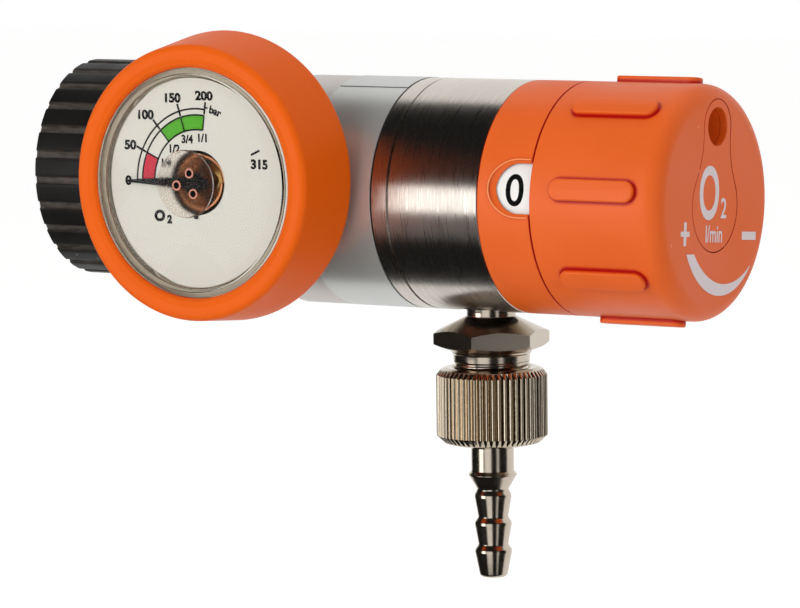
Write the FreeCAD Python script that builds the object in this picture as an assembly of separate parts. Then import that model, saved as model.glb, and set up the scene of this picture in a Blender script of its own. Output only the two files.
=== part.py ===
import FreeCAD, Part
import math
import os

# Oxygen regulator for a small gas cylinder, all sizes in millimetres.
# The origin is the front of the inlet spigot. X runs along it to the selector knob,
# the gauge faces -Y and the outlet points down.

# Common clearances
RUN_GAP = 0.06
SEAT_GAP = 0.05
FACE_GAP = 0.3

# Flats that stand for the round of a wire or a seal
WIRE_SIDES = 6
SEAL_SIDES = 6
COIL_STEPS = 12

# Axes of the three groups
AXIS_DROP = 2.8
GAUGE_RISE = 0.6
GAUGE_SETBACK = 2.8
OUTLET_AT = 12.5

# Handwheel and union nut
WHEEL_R = 20.9
WHEEL_FRONT = -3.0
WHEEL_LENGTH = 23.5
WHEEL_RIBS = 30
WHEEL_TURN = 9.6
RIB_DEPTH = 0.7
WHEEL_GAP = 0.5
UNION_R = 15.5
UNION_FRONT = -2.4
UNION_WEB = 5.0
INLET_THREAD_R = 12.06
SPIGOT_R = 7.0
SPIGOT_FRONT = 0.0
SPIGOT_LENGTH = 7.0
COLLAR_R = 10.8
COLLAR_THICK = 3.7
SHANK_R = 8.0
SHANK_FLANGE_R = 10.5
SHANK_FLANGE_THICK = 3.0
SHANK_THREAD_R = 7.0
SHANK_THREAD_LENGTH = 11.0
GAS_BORE_R = 2.0
FILTER_R = 4.0
FILTER_LENGTH = 5.0
CLIP_THICK = 1.0
CLIP_R = 9.6
CLIP_GROOVE = 0.6

# Body of the pressure reducer
BODY_R = 21.6
NECK_R = 16.0
NECK_LENGTH = 23.0
REDUCER_LENGTH = 27.0
CHAMBER_R = 4.5
SEAT_WALL = 2.0
NOZZLE_R = 2.2
NOZZLE_HEIGHT = 1.5
NOZZLE_BORE_R = 1.0
GUIDE_BOSS_R = 8.0
GUIDE_LENGTH = 12.0
SPRING_FLOOR = 8.0
SPRING_SPACE_R = 15.6
SPIGOT_WALL = 2.0
SPIGOT_DEPTH = 7.0
LABEL_WIDTH = 14.0
LABEL_THICK = 0.25
JOINT_LINE = 0.3

# Piston of the reducer
STEM_R = 5.0
STEM_NOSE_R = 4.2
STEM_NOSE_LENGTH = 4.5
PAD_R = 3.0
PAD_THICK = 1.7
PAD_PROUD = 0.2
NOZZLE_LIFT = 0.8
PISTON_HEAD_THICK = 5.0
PISTON_BORE_R = 1.2
HEAD_SEAL_WIRE = 0.93
STEM_SEAL_WIRE = 0.6
MAIN_WIRE_R = 1.3
MAIN_COIL_R = 11.6
MAIN_TURNS = 4

# Low pressure body
OUTLET_BODY_LENGTH = 22.7
BODY_GROOVE_AT = 3.3
BODY_GROOVE_WIDTH = 0.35
BODY_GROOVE_DEPTH = 0.4
BODY_EDGE_BREAK = 0.1
LOW_CHAMBER_R = 13.5
LOW_CHAMBER_DEPTH = 9.7
DISC_WALL = 6.0
DISC_CHAMBER_R = 13.0
DISC_CHAMBER_DEPTH = 4.0
BEARING_R = 14.0
COLLAR_SEAT_STEP = 4.1
COLLAR_SEAT_LENGTH = 2.2
FEED_R = 1.2
FEED_PITCH_R = 11.4
METER_PITCH_R = 6.5
METER_PORT_R = 1.4

# Flow selector
POSITIONS = 12
DISC_R = 10.0
DISC_THICK = 2.0
DISC_GAP = 0.4
SHAFT_R = 3.0
SHAFT_SHOULDER_R = 4.2
BEARING_THICK = 6.5
INDEX_PLATE_R = 11.0
INDEX_PLATE_THICK = 2.0
INDEX_PITCH_R = 8.5
INDEX_GAP = 0.6
BALL_R = 1.25
DIMPLE_R = 1.0
SHAFT_FLAT = 0.8
SHAFT_SOCKET = 13.8

# Window collar and number ring
COLLAR_LENGTH = 10.75
COLLAR_WALL = 0.8
COLLAR_FLANGE = 1.6
HEAD_TURN = 9.0
WINDOW_HALF = 4.6
WINDOW_LENGTH = 7.0
WINDOW_RIM = 1.5
WINDOW_RIM_HEIGHT = 0.35
RING_GAP = 0.3
RING_WALL = 1.7
RING_LENGTH = 8.5
RING_TAIL = 6.0

# Selector knob
KNOB_LENGTH = 26.4
KNOB_WALL = 2.6
KNOB_FRONT = 4.5
KNOB_ROUND = 3.2
HUB_R = 6.5
HUB_RECESS = 1.3
GRIPS = 8
GRIP_LENGTH = 18.3
GRIP_WIDTH = 4.2
GRIP_HEIGHT = 1.15
GRIP_SETBACK = 4.2
WELL_R = 3.5
WELL_HEIGHT = 13.9
WELL_DEPTH = 10.0
WELL_WALL = 1.5
CAP_TOP_R = 5.1
CAP_LOWER_R = 8.5
CAP_LOWER_DROP = 0.5
CAP_WAIST_R = 16.0
CAP_THICK = 1.5
CAP_GAP = 0.12
CAP_TURN = 5.0
SCREW_R = 1.5
SCREW_HEAD_R = 2.8
SCREW_HEAD_THICK = 2.0
SCREW_LENGTH = 10.0

# Contents gauge
GAUGE_SPOT_DEPTH = 7.1
GAUGE_SPOT_R = 9.5
GAUGE_PORT_R = 4.9
GAUGE_PORT_DEPTH = 8.5
GAUGE_HEX = 14.0
GAUGE_HEX_THICK = 5.5
GAUGE_STEM_R = 6.5
GAUGE_STANDOFF = 1.7
CASE_R = 23.0
CASE_WALL = 1.2
CASE_DEPTH = 11.8
DIAL_DEPTH = 10.1
DIAL_MARGIN = 3.8
DIAL_THICK = 0.45
DIAL_HOLE_R = 6.0
LEDGE_WIDTH = 3.6
LEDGE_THICK = 1.5
LENS_MARGIN = 1.9
LENS_EDGE_DEPTH = 13.3
LENS_CROWN_RISE = 1.6
LENS_THICK = 1.6
LENS_ROUNDEL_R = 5.8
LENS_DIMPLE_R = 0.8
LENS_DIMPLE_PITCH_R = 2.2
GUARD_DEPTH = 13.5
GUARD_FRONT_WALL = 2.5
GUARD_REAR_WALL = 4.2
GUARD_LIFT = 0.35
GUARD_ROUND = 1.1
GUARD_LIP_WIDTH = 1.65
GUARD_LIP_CHAMFER = 1.35
GUARD_LIP = 0.5
POINTER_RISE = 1.2
POINTER_THICK = 0.4
POINTER_TIP_MARGIN = 3.5
POINTER_ROOT_WIDTH = 2.6
POINTER_TIP_WIDTH = 0.4
SPINDLE_R = 0.6
POST_R = 1.6
POST_LENGTH = 7.0
COIL_R = 4.8
COIL_TUBE_R = 0.65
COIL_TURNS = 4

# Outlet fitting, nut and hose tail, depths below the body surface
WASHER_THICK = 0.5
WASHER_R = 5.9
OUTLET_SPOT = 1.1
OUTLET_COLLAR_R = 5.4
OUTLET_THREAD_R = 4.9
OUTLET_THREAD_LENGTH = 5.2
OUTLET_PORT_R = 1.5
HEX_FLATS = 19.05
HEX_TURN = -78.4
HEX_TOP = 1.4
HEX_SHOULDER_R = 6.7
HEX_UPPER = 4.05
HEX_LOWER = 6.05
HEX_BOTTOM = 7.5
STUD_R = 7.14
STUD_END = 19.9
OUTLET_BORE_R = 1.9
NUT_TOP = 10.5
NUT_R = 10.4
NUT_TOP_R = 8.7
NUT_KNURL_TOP = 11.9
NUT_KNURL_BOTTOM = 23.1
NUT_BOTTOM = 25.6
NUT_BOTTOM_R = 7.0
NUT_LIP = 2.0
KNURLS = 48
KNURL_DEPTH = 0.4
TAIL_R = 4.0
TAIL_FLANGE_R = 6.9
TAIL_COLLAR_R = 4.57
TAIL_COLLAR_AT = 30.75
TAIL_WAIST_R = 2.93
BARB_R = 3.5
BARB_ROOT_R = 2.78
BARB_TIP_R = 2.6
BARB_FIRST = 34.75
BARB_PITCH = 5.2
BARB_RISE = 1.17
BARBS = 3
TAIL_END = 50.1
TAIL_SEAL_WIRE = 0.6
TAIL_SEAL_DEPTH = 1.1

# Relief valve on the back of the low pressure body
RELIEF_AT = 7.7
RELIEF_PORT_R = 4.6
RELIEF_SEAT_DEPTH = 6.3
RELIEF_ORIFICE_R = 1.2
RELIEF_SPOT_R = 7.0
RELIEF_SPOT_DEPTH = 1.2
RELIEF_HEX = 11.0
RELIEF_HEX_THICK = 3.0
RELIEF_THREAD_LENGTH = 2.2
RELIEF_CAP_BORE_R = 3.4
RELIEF_VENT_R = 0.8
POPPET_R = 3.2
POPPET_THICK = 1.5
POPPET_STEM_R = 1.0
POPPET_STEM_LENGTH = 2.5
RELIEF_WIRE_R = 0.35
RELIEF_COIL_R = 2.3
RELIEF_TURNS = 4

# Stations along X that follow from the sizes above
UNION_SEAT = SPIGOT_FRONT + SPIGOT_LENGTH + COLLAR_THICK + FACE_GAP
UNION_BACK = UNION_SEAT + UNION_WEB
CLIP_AT = UNION_BACK + FACE_GAP
WHEEL_END = WHEEL_FRONT + WHEEL_LENGTH
NECK_AT = WHEEL_END + WHEEL_GAP + SHANK_FLANGE_THICK
REDUCER_AT = NECK_AT + NECK_LENGTH
REDUCER_END = REDUCER_AT + REDUCER_LENGTH
GAUGE_X = REDUCER_AT - GAUGE_SETBACK
CHAMBER_AT = NECK_AT + SHANK_THREAD_LENGTH
NOZZLE_ROOT = REDUCER_AT + SEAT_WALL
NOZZLE_TIP = NOZZLE_ROOT + NOZZLE_HEIGHT
GUIDE_END = NOZZLE_ROOT + GUIDE_LENGTH
SPRING_AT = REDUCER_AT + SPRING_FLOOR
SPIGOT_AT = REDUCER_END - SPIGOT_DEPTH
CYLINDER_R = SPRING_SPACE_R - 0.1
OUTLET_BODY_AT = REDUCER_END + JOINT_LINE
OUTLET_BODY_END = OUTLET_BODY_AT + OUTLET_BODY_LENGTH
OUTLET_X = OUTLET_BODY_AT + OUTLET_AT
PISTON_END = OUTLET_BODY_AT - FACE_GAP
PISTON_HEAD_AT = PISTON_END - PISTON_HEAD_THICK
PAD_FACE = NOZZLE_TIP + NOZZLE_LIFT
STEM_TIP = PAD_FACE + PAD_PROUD
LOW_CHAMBER_END = OUTLET_BODY_AT + LOW_CHAMBER_DEPTH
DISC_FLOOR = LOW_CHAMBER_END + DISC_WALL
BEARING_AT = DISC_FLOOR + DISC_CHAMBER_DEPTH
BEARING_END = BEARING_AT + BEARING_THICK
DISC_AT = DISC_FLOOR + DISC_GAP
INDEX_PLATE_AT = BEARING_END + INDEX_GAP
COLLAR_AT = OUTLET_BODY_END
COLLAR_END = COLLAR_AT + COLLAR_LENGTH
KNOB_AT = COLLAR_END + FACE_GAP
KNOB_END = KNOB_AT + KNOB_LENGTH
KNOB_INNER_R = BODY_R - KNOB_WALL
KNOB_FLOOR = KNOB_END - KNOB_FRONT
RING_R = BODY_R - COLLAR_WALL - RING_GAP
SHAFT_END = KNOB_AT + HUB_RECESS + SHAFT_SOCKET
SCREW_SEAT = SHAFT_END + 4.0
BODY_BOTTOM = -AXIS_DROP - BODY_R
COLLAR_SEAT_R = BODY_R - COLLAR_SEAT_STEP
RELIEF_SEAT = BODY_R - RELIEF_SEAT_DEPTH
RELIEF_SPOT = BODY_R - RELIEF_SPOT_DEPTH

# Levels and radii of the gauge, measured out from the body's middle and from the gauge's axis
GAUGE_SPOT = BODY_R - GAUGE_SPOT_DEPTH
GAUGE_BACK = BODY_R + GAUGE_STANDOFF
DIAL_LEVEL = GAUGE_BACK + DIAL_DEPTH
DIAL_R = CASE_R - DIAL_MARGIN
LENS_EDGE_R = CASE_R - LENS_MARGIN
LENS_FRONT = GAUGE_BACK + LENS_EDGE_DEPTH
LENS_CROWN = LENS_FRONT + LENS_CROWN_RISE
GUARD_FRONT = GAUGE_BACK + GUARD_DEPTH
GUARD_FRONT_R = CASE_R + GUARD_FRONT_WALL
GUARD_REAR_R = CASE_R + GUARD_REAR_WALL
GUARD_MOUTH_R = CASE_R - GUARD_LIP_WIDTH
GUARD_FACE_R = GUARD_MOUTH_R + GUARD_LIP_CHAMFER
POINTER_LEVEL = DIAL_LEVEL + POINTER_RISE
POINTER_REACH = DIAL_R - POINTER_TIP_MARGIN

BODY_AXIS = FreeCAD.Vector(0, 0, -AXIS_DROP)
ALONG_X = FreeCAD.Vector(1, 0, 0)
ALONG_Y = FreeCAD.Vector(0, 1, 0)
ALONG_Z = FreeCAD.Vector(0, 0, 1)


# Helpers for turned and drilled work

def turned_x(profile, z=0.0):
    points = [FreeCAD.Vector(along, 0, z + r) for along, r in profile]
    face = Part.Face(Part.makePolygon(points + [points[0]]))
    return face.revolve(FreeCAD.Vector(0, 0, z), ALONG_X, 360)


def turned_front(profile):
    points = [FreeCAD.Vector(GAUGE_X + r, -out, GAUGE_RISE) for out, r in profile]
    face = Part.Face(Part.makePolygon(points + [points[0]]))
    return face.revolve(FreeCAD.Vector(GAUGE_X, 0, GAUGE_RISE), ALONG_Y, 360)


def turned_down(profile):
    points = [FreeCAD.Vector(OUTLET_X + r, 0, BODY_BOTTOM - depth) for depth, r in profile]
    face = Part.Face(Part.makePolygon(points + [points[0]]))
    return face.revolve(FreeCAD.Vector(OUTLET_X, 0, 0), ALONG_Z, 360)


def turned_back(profile, x):
    points = [FreeCAD.Vector(x + r, out, -AXIS_DROP) for out, r in profile]
    face = Part.Face(Part.makePolygon(points + [points[0]]))
    return face.revolve(FreeCAD.Vector(x, 0, -AXIS_DROP), ALONG_Y, 360)


def rod_x(r, start, end, y=0.0, z=0.0):
    return Part.makeCylinder(r, end - start, FreeCAD.Vector(start, y, z), ALONG_X)


def rod_front(r, start, end, x=0.0, z=0.0):
    base = FreeCAD.Vector(GAUGE_X + x, -start, GAUGE_RISE + z)
    return Part.makeCylinder(r, end - start, base, FreeCAD.Vector(0, -1, 0))


def tube_x(r_out, r_in, start, end, z=0.0):
    return turned_x([(start, r_in), (end, r_in), (end, r_out), (start, r_out)], z)


def ring_seal(major, minor, centre, axis):
    points = []
    for k in range(SEAL_SIDES + 1):
        a = 2 * math.pi * (k + 0.5) / SEAL_SIDES
        points.append(FreeCAD.Vector(major + minor * math.cos(a), 0, minor * math.sin(a)))
    section = Part.Face(Part.makePolygon(points))
    ring = section.revolve(FreeCAD.Vector(0, 0, 0), ALONG_Z, 360)
    ring.Placement = FreeCAD.Placement(centre, FreeCAD.Rotation(ALONG_Z, axis))
    return ring


def hexagon(flats, start, end, centre, axis, turn=0.0):
    corner = flats / math.sqrt(3.0)
    points = []
    for k in range(7):
        a = math.radians(60 * k)
        points.append(FreeCAD.Vector(corner * math.cos(a), corner * math.sin(a), start))
    prism = Part.Face(Part.makePolygon(points)).extrude(FreeCAD.Vector(0, 0, end - start))
    prism.rotate(FreeCAD.Vector(0, 0, 0), ALONG_Z, turn)
    turn_to_axis = FreeCAD.Rotation(ALONG_Z, axis)
    prism.Placement = FreeCAD.Placement(centre, turn_to_axis).multiply(prism.Placement)
    return prism


def coil(radius, wire, length, turns, start, axis):
    steps = turns * COIL_STEPS
    turn = 2 * math.pi / COIL_STEPS
    path = []
    for k in range(steps + 1):
        x = radius * math.cos(turn * k)
        y = radius * math.sin(turn * k)
        path.append(FreeCAD.Vector(x, y, length * k / steps))
    across = (path[1] - path[0]).cross(ALONG_X).normalize()
    section = []
    for k in range(WIRE_SIDES + 1):
        a = 2 * math.pi * k / WIRE_SIDES
        section.append(path[0] + (ALONG_X * math.cos(a) + across * math.sin(a)) * wire)
    spine = Part.makePolygon(path)
    spring = spine.makePipeShell([Part.makePolygon(section)], True, False, 1)
    spring.Placement = FreeCAD.Placement(start, FreeCAD.Rotation(ALONG_Z, axis))
    return spring


def around_body(shape, angle):
    copy = shape.copy()
    copy.rotate(BODY_AXIS, ALONG_X, angle)
    return copy


def slot_outline(start, length, width):
    half = width / 2.0
    left = start + half
    right = start + length - half
    top_left = FreeCAD.Vector(left, 0, half)
    top_right = FreeCAD.Vector(right, 0, half)
    low_right = FreeCAD.Vector(right, 0, -half)
    low_left = FreeCAD.Vector(left, 0, -half)
    end_right = Part.Arc(top_right, FreeCAD.Vector(start + length, 0, 0), low_right).toShape()
    end_left = Part.Arc(low_left, FreeCAD.Vector(start, 0, 0), top_left).toShape()
    sides = [Part.makeLine(top_left, top_right), Part.makeLine(low_right, low_left)]
    return Part.Wire([sides[0], end_right, sides[1], end_left])


def plate_towards_front(wire, reach):
    face = Part.Face(wire)
    face.translate(BODY_AXIS)
    return face.extrude(FreeCAD.Vector(0, -reach, 0))


# Inlet side

def handwheel():
    chamfer = 0.8
    blank = turned_x([
        (WHEEL_FRONT, UNION_R + SEAT_GAP + chamfer),
        (WHEEL_FRONT + chamfer, UNION_R + SEAT_GAP),
        (UNION_BACK, UNION_R + SEAT_GAP),
        (UNION_BACK, CLIP_R + FACE_GAP),
        (WHEEL_END, CLIP_R + FACE_GAP),
        (WHEEL_END, WHEEL_R - chamfer),
        (WHEEL_END - chamfer, WHEEL_R),
        (WHEEL_FRONT + chamfer, WHEEL_R),
        (WHEEL_FRONT, WHEEL_R - chamfer)])
    pitch = 2 * math.pi * WHEEL_R / WHEEL_RIBS
    mouth = 0.42 * pitch
    root = 0.22 * pitch
    start = WHEEL_FRONT - 1
    groove = Part.Face(Part.makePolygon([
        FreeCAD.Vector(start, -root / 2, WHEEL_R - RIB_DEPTH),
        FreeCAD.Vector(start, root / 2, WHEEL_R - RIB_DEPTH),
        FreeCAD.Vector(start, mouth / 2, WHEEL_R + 0.3),
        FreeCAD.Vector(start, -mouth / 2, WHEEL_R + 0.3),
        FreeCAD.Vector(start, -root / 2, WHEEL_R - RIB_DEPTH)]))
    groove = groove.extrude(FreeCAD.Vector(WHEEL_LENGTH + 2, 0, 0))
    grooves = []
    for k in range(WHEEL_RIBS):
        cut = groove.copy()
        cut.rotate(FreeCAD.Vector(0, 0, 0), ALONG_X, WHEEL_TURN + 360.0 * k / WHEEL_RIBS)
        grooves.append(cut)
    return blank.cut(grooves)


def union_nut():
    lead = 1.2
    return turned_x([
        (UNION_FRONT, INLET_THREAD_R + lead),
        (UNION_FRONT + lead, INLET_THREAD_R),
        (UNION_SEAT, INLET_THREAD_R),
        (UNION_SEAT, SHANK_R + RUN_GAP),
        (UNION_BACK, SHANK_R + RUN_GAP),
        (UNION_BACK, UNION_R),
        (UNION_FRONT, UNION_R)])


def inlet_connector():
    seal_in = FILTER_R + 0.9
    seal_out = SPIGOT_R - 0.7
    seal_depth = 1.3
    spigot_end = SPIGOT_FRONT + SPIGOT_LENGTH
    flange_at = NECK_AT - SHANK_FLANGE_THICK
    return turned_x([
        (SPIGOT_FRONT, FILTER_R + SEAT_GAP),
        (SPIGOT_FRONT + 1 + FILTER_LENGTH, FILTER_R + SEAT_GAP),
        (SPIGOT_FRONT + 1 + FILTER_LENGTH, GAS_BORE_R),
        (CHAMBER_AT, GAS_BORE_R),
        (CHAMBER_AT, SHANK_THREAD_R - 0.8),
        (CHAMBER_AT - 0.8, SHANK_THREAD_R),
        (NECK_AT, SHANK_THREAD_R),
        (NECK_AT, SHANK_FLANGE_R),
        (flange_at, SHANK_FLANGE_R),
        (flange_at, SHANK_R),
        (CLIP_AT + CLIP_THICK, SHANK_R),
        (CLIP_AT + CLIP_THICK, SHANK_R - CLIP_GROOVE),
        (CLIP_AT, SHANK_R - CLIP_GROOVE),
        (CLIP_AT, SHANK_R),
        (spigot_end + COLLAR_THICK, SHANK_R),
        (spigot_end + COLLAR_THICK, COLLAR_R),
        (spigot_end, COLLAR_R),
        (spigot_end, SPIGOT_R),
        (SPIGOT_FRONT, SPIGOT_R),
        (SPIGOT_FRONT, seal_out),
        (SPIGOT_FRONT + seal_depth, seal_out),
        (SPIGOT_FRONT + seal_depth, seal_in),
        (SPIGOT_FRONT, seal_in)])


def inlet_seal():
    seal_in = FILTER_R + 0.9
    seal_out = SPIGOT_R - 0.7
    wire = (seal_out - seal_in) / 2 - SEAT_GAP
    centre = FreeCAD.Vector(SPIGOT_FRONT + wire - 0.1, 0, 0)
    return ring_seal((seal_out + seal_in) / 2, wire, centre, ALONG_X)


def inlet_filter():
    back = SPIGOT_FRONT + 1 + FILTER_LENGTH
    front = back - FILTER_LENGTH
    return turned_x([
        (front, 0), (back - 1.2, 0), (back - 1.2, GAS_BORE_R), (back, GAS_BORE_R),
        (back, FILTER_R), (front + 0.5, FILTER_R), (front, FILTER_R - 0.5)])


def union_clip():
    ring = tube_x(CLIP_R, SHANK_R - CLIP_GROOVE + SEAT_GAP, CLIP_AT, CLIP_AT + CLIP_THICK)
    mouth = Part.makeBox(CLIP_THICK + 2, 5.0, CLIP_R + 2, FreeCAD.Vector(CLIP_AT - 1, -2.5, 0))
    return ring.cut(mouth)


# Reducer body

def inlet_body():
    chamfer = 1.5
    neck = turned_x([
        (NECK_AT, 0), (REDUCER_AT + 1, 0), (REDUCER_AT + 1, NECK_R),
        (NECK_AT + 1, NECK_R), (NECK_AT, NECK_R - 1)])
    label_at = REDUCER_END - LABEL_WIDTH
    barrel = turned_x([
        (REDUCER_AT, 0), (REDUCER_END, 0), (REDUCER_END, BODY_R - LABEL_THICK),
        (label_at, BODY_R - LABEL_THICK), (label_at, BODY_R),
        (REDUCER_AT + chamfer, BODY_R), (REDUCER_AT, BODY_R - chamfer)], -AXIS_DROP)
    spring_space = turned_x([
        (SPRING_AT, GUIDE_BOSS_R), (GUIDE_END, GUIDE_BOSS_R), (GUIDE_END, 0),
        (REDUCER_END + 1, 0), (REDUCER_END + 1, SPRING_SPACE_R + SPIGOT_WALL),
        (SPIGOT_AT, SPRING_SPACE_R + SPIGOT_WALL), (SPIGOT_AT, SPRING_SPACE_R),
        (SPRING_AT, SPRING_SPACE_R)], -AXIS_DROP)
    seat_space = turned_x([
        (NOZZLE_ROOT, NOZZLE_R + 0.6), (NOZZLE_TIP, NOZZLE_R), (NOZZLE_TIP, 0),
        (GUIDE_END + 1, 0), (GUIDE_END + 1, STEM_R + RUN_GAP),
        (NOZZLE_ROOT, STEM_R + RUN_GAP)], -AXIS_DROP)
    cuts = [
        rod_x(SHANK_THREAD_R + SEAT_GAP, NECK_AT - 1, CHAMBER_AT),
        rod_x(CHAMBER_R, CHAMBER_AT - 1, REDUCER_AT),
        rod_x(NOZZLE_BORE_R, REDUCER_AT - 1, NOZZLE_TIP + 1, 0, -AXIS_DROP),
        seat_space,
        spring_space,
        rod_front(GAUGE_SPOT_R, GAUGE_SPOT, BODY_R + 5),
        rod_front(GAUGE_PORT_R + SEAT_GAP, GAUGE_SPOT - GAUGE_PORT_DEPTH, GAUGE_SPOT + 1),
        rod_front(1.5, 0, GAUGE_SPOT),
        Part.makeCylinder(1.0, BODY_R, FreeCAD.Vector(SPRING_AT + 3, 0, -AXIS_DROP), ALONG_Y)
        .cut(rod_x(SPRING_SPACE_R - 1, SPRING_AT, SPIGOT_AT, 0, -AXIS_DROP))]
    return neck.fuse(barrel).cut(cuts).removeSplitter()


def label_sleeve():
    label_at = REDUCER_END - LABEL_WIDTH
    return tube_x(BODY_R, BODY_R - LABEL_THICK, label_at, REDUCER_END, -AXIS_DROP)


def piston():
    head_r = CYLINDER_R - RUN_GAP
    groove_root = CYLINDER_R - 2 * HEAD_SEAL_WIRE - 0.1
    groove_half = HEAD_SEAL_WIRE + SEAT_GAP
    middle = PISTON_HEAD_AT + PISTON_HEAD_THICK / 2
    nose_end = STEM_TIP + STEM_NOSE_LENGTH
    pad_back = PAD_FACE + PAD_THICK
    stem_root = STEM_R + RUN_GAP - 2 * STEM_SEAL_WIRE - 0.1
    stem_groove = GUIDE_END - 4.0
    blank = turned_x([
        (STEM_TIP, PAD_R + SEAT_GAP), (pad_back, PAD_R + SEAT_GAP), (pad_back, PISTON_BORE_R),
        (PISTON_END, PISTON_BORE_R), (PISTON_END, head_r), (middle + groove_half, head_r),
        (middle + groove_half, groove_root), (middle - groove_half, groove_root),
        (middle - groove_half, head_r), (PISTON_HEAD_AT, head_r), (PISTON_HEAD_AT, STEM_R),
        (stem_groove + STEM_SEAL_WIRE + SEAT_GAP, STEM_R),
        (stem_groove + STEM_SEAL_WIRE + SEAT_GAP, stem_root),
        (stem_groove - STEM_SEAL_WIRE - SEAT_GAP, stem_root),
        (stem_groove - STEM_SEAL_WIRE - SEAT_GAP, STEM_R),
        (nose_end, STEM_R), (nose_end, STEM_NOSE_R), (STEM_TIP, STEM_NOSE_R)], -AXIS_DROP)
    cross_at = FreeCAD.Vector(pad_back + 1.2, -STEM_R - 1, -AXIS_DROP)
    return blank.cut(Part.makeCylinder(0.7, 2 * STEM_R + 2, cross_at, ALONG_Y))


def piston_seat_pad():
    return turned_x([(PAD_FACE, 0), (PAD_FACE + PAD_THICK, 0), (PAD_FACE + PAD_THICK, PAD_R),
                     (PAD_FACE, PAD_R)], -AXIS_DROP)


def piston_head_seal():
    centre = FreeCAD.Vector(PISTON_HEAD_AT + PISTON_HEAD_THICK / 2, 0, -AXIS_DROP)
    return ring_seal(CYLINDER_R - RUN_GAP - HEAD_SEAL_WIRE, HEAD_SEAL_WIRE, centre, ALONG_X)


def piston_stem_seal():
    centre = FreeCAD.Vector(GUIDE_END - 4.0, 0, -AXIS_DROP)
    return ring_seal(STEM_R - STEM_SEAL_WIRE, STEM_SEAL_WIRE, centre, ALONG_X)


def main_spring():
    length = PISTON_HEAD_AT - SPRING_AT - 2 * MAIN_WIRE_R - 0.2
    start = FreeCAD.Vector(SPRING_AT + MAIN_WIRE_R + 0.1, 0, -AXIS_DROP)
    return coil(MAIN_COIL_R, MAIN_WIRE_R, length, MAIN_TURNS, start, ALONG_X)


# Low pressure body

def outlet_body():
    groove_at = OUTLET_BODY_AT + BODY_GROOVE_AT
    groove_end = groove_at + BODY_GROOVE_WIDTH
    spigot_r = SPRING_SPACE_R + SPIGOT_WALL - SEAT_GAP
    broken_r = BODY_R - BODY_EDGE_BREAK
    blank = turned_x([
        (SPIGOT_AT, CYLINDER_R), (OUTLET_BODY_AT, CYLINDER_R), (OUTLET_BODY_AT, LOW_CHAMBER_R),
        (LOW_CHAMBER_END, LOW_CHAMBER_R), (LOW_CHAMBER_END, 0), (DISC_FLOOR, 0),
        (DISC_FLOOR, DISC_CHAMBER_R), (BEARING_AT, DISC_CHAMBER_R), (BEARING_AT, BEARING_R),
        (OUTLET_BODY_END + COLLAR_SEAT_LENGTH, BEARING_R),
        (OUTLET_BODY_END + COLLAR_SEAT_LENGTH, COLLAR_SEAT_R), (OUTLET_BODY_END, COLLAR_SEAT_R),
        (OUTLET_BODY_END, broken_r), (OUTLET_BODY_END - BODY_EDGE_BREAK, BODY_R),
        (groove_end + BODY_EDGE_BREAK, BODY_R), (groove_end, broken_r),
        (groove_end, BODY_R - BODY_GROOVE_DEPTH), (groove_at, BODY_R - BODY_GROOVE_DEPTH),
        (groove_at, broken_r), (groove_at - BODY_EDGE_BREAK, BODY_R),
        (OUTLET_BODY_AT + BODY_EDGE_BREAK, BODY_R), (OUTLET_BODY_AT, broken_r),
        (OUTLET_BODY_AT, spigot_r),
        (SPIGOT_AT, spigot_r)], -AXIS_DROP)
    meter_z = -AXIS_DROP - METER_PITCH_R
    port_top = BODY_BOTTOM + OUTLET_SPOT + WASHER_THICK + OUTLET_THREAD_LENGTH
    relief_x = OUTLET_BODY_AT + RELIEF_AT
    down = FreeCAD.Vector(OUTLET_X, 0, BODY_BOTTOM - 1)
    back = FreeCAD.Vector(relief_x, 0, -AXIS_DROP)
    cuts = [
        rod_x(FEED_R, LOW_CHAMBER_END - 1, DISC_FLOOR + 1, 0, -AXIS_DROP + FEED_PITCH_R),
        rod_x(METER_PORT_R, OUTLET_X, DISC_FLOOR + 1, 0, meter_z),
        rod_x(METER_PORT_R + 1.0, DISC_FLOOR - 1, DISC_FLOOR + 1, 0, meter_z),
        Part.makeCylinder(WASHER_R + SEAT_GAP, 1 + OUTLET_SPOT, down, ALONG_Z),
        Part.makeCylinder(OUTLET_THREAD_R + SEAT_GAP, port_top - BODY_BOTTOM + 1, down, ALONG_Z),
        Part.makeCylinder(OUTLET_PORT_R, meter_z - BODY_BOTTOM + 1, down, ALONG_Z),
        Part.makeCylinder(RELIEF_PORT_R, BODY_R, back + ALONG_Y * RELIEF_SEAT, ALONG_Y),
        Part.makeCylinder(RELIEF_ORIFICE_R, BODY_R, back + ALONG_Y * 5, ALONG_Y),
        Part.makeCylinder(RELIEF_SPOT_R, BODY_R, back + ALONG_Y * RELIEF_SPOT, ALONG_Y)]
    return blank.cut(cuts)


def flow_seal():
    meter_z = -AXIS_DROP - METER_PITCH_R
    return tube_x(METER_PORT_R + 0.95, METER_PORT_R, DISC_FLOOR - 1, DISC_AT - 0.1, meter_z)


def flow_disc():
    disc = tube_x(DISC_R, SHAFT_R + SEAT_GAP, DISC_AT, DISC_AT + DISC_THICK, -AXIS_DROP)
    holes = []
    for k in range(1, POSITIONS):
        r = 0.25 + 0.05 * k
        hole = rod_x(r, DISC_AT - 1, DISC_AT + DISC_THICK + 1, 0, -AXIS_DROP - METER_PITCH_R)
        holes.append(around_body(hole, 360.0 * k / POSITIONS))
    return disc.cut(holes)


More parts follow.
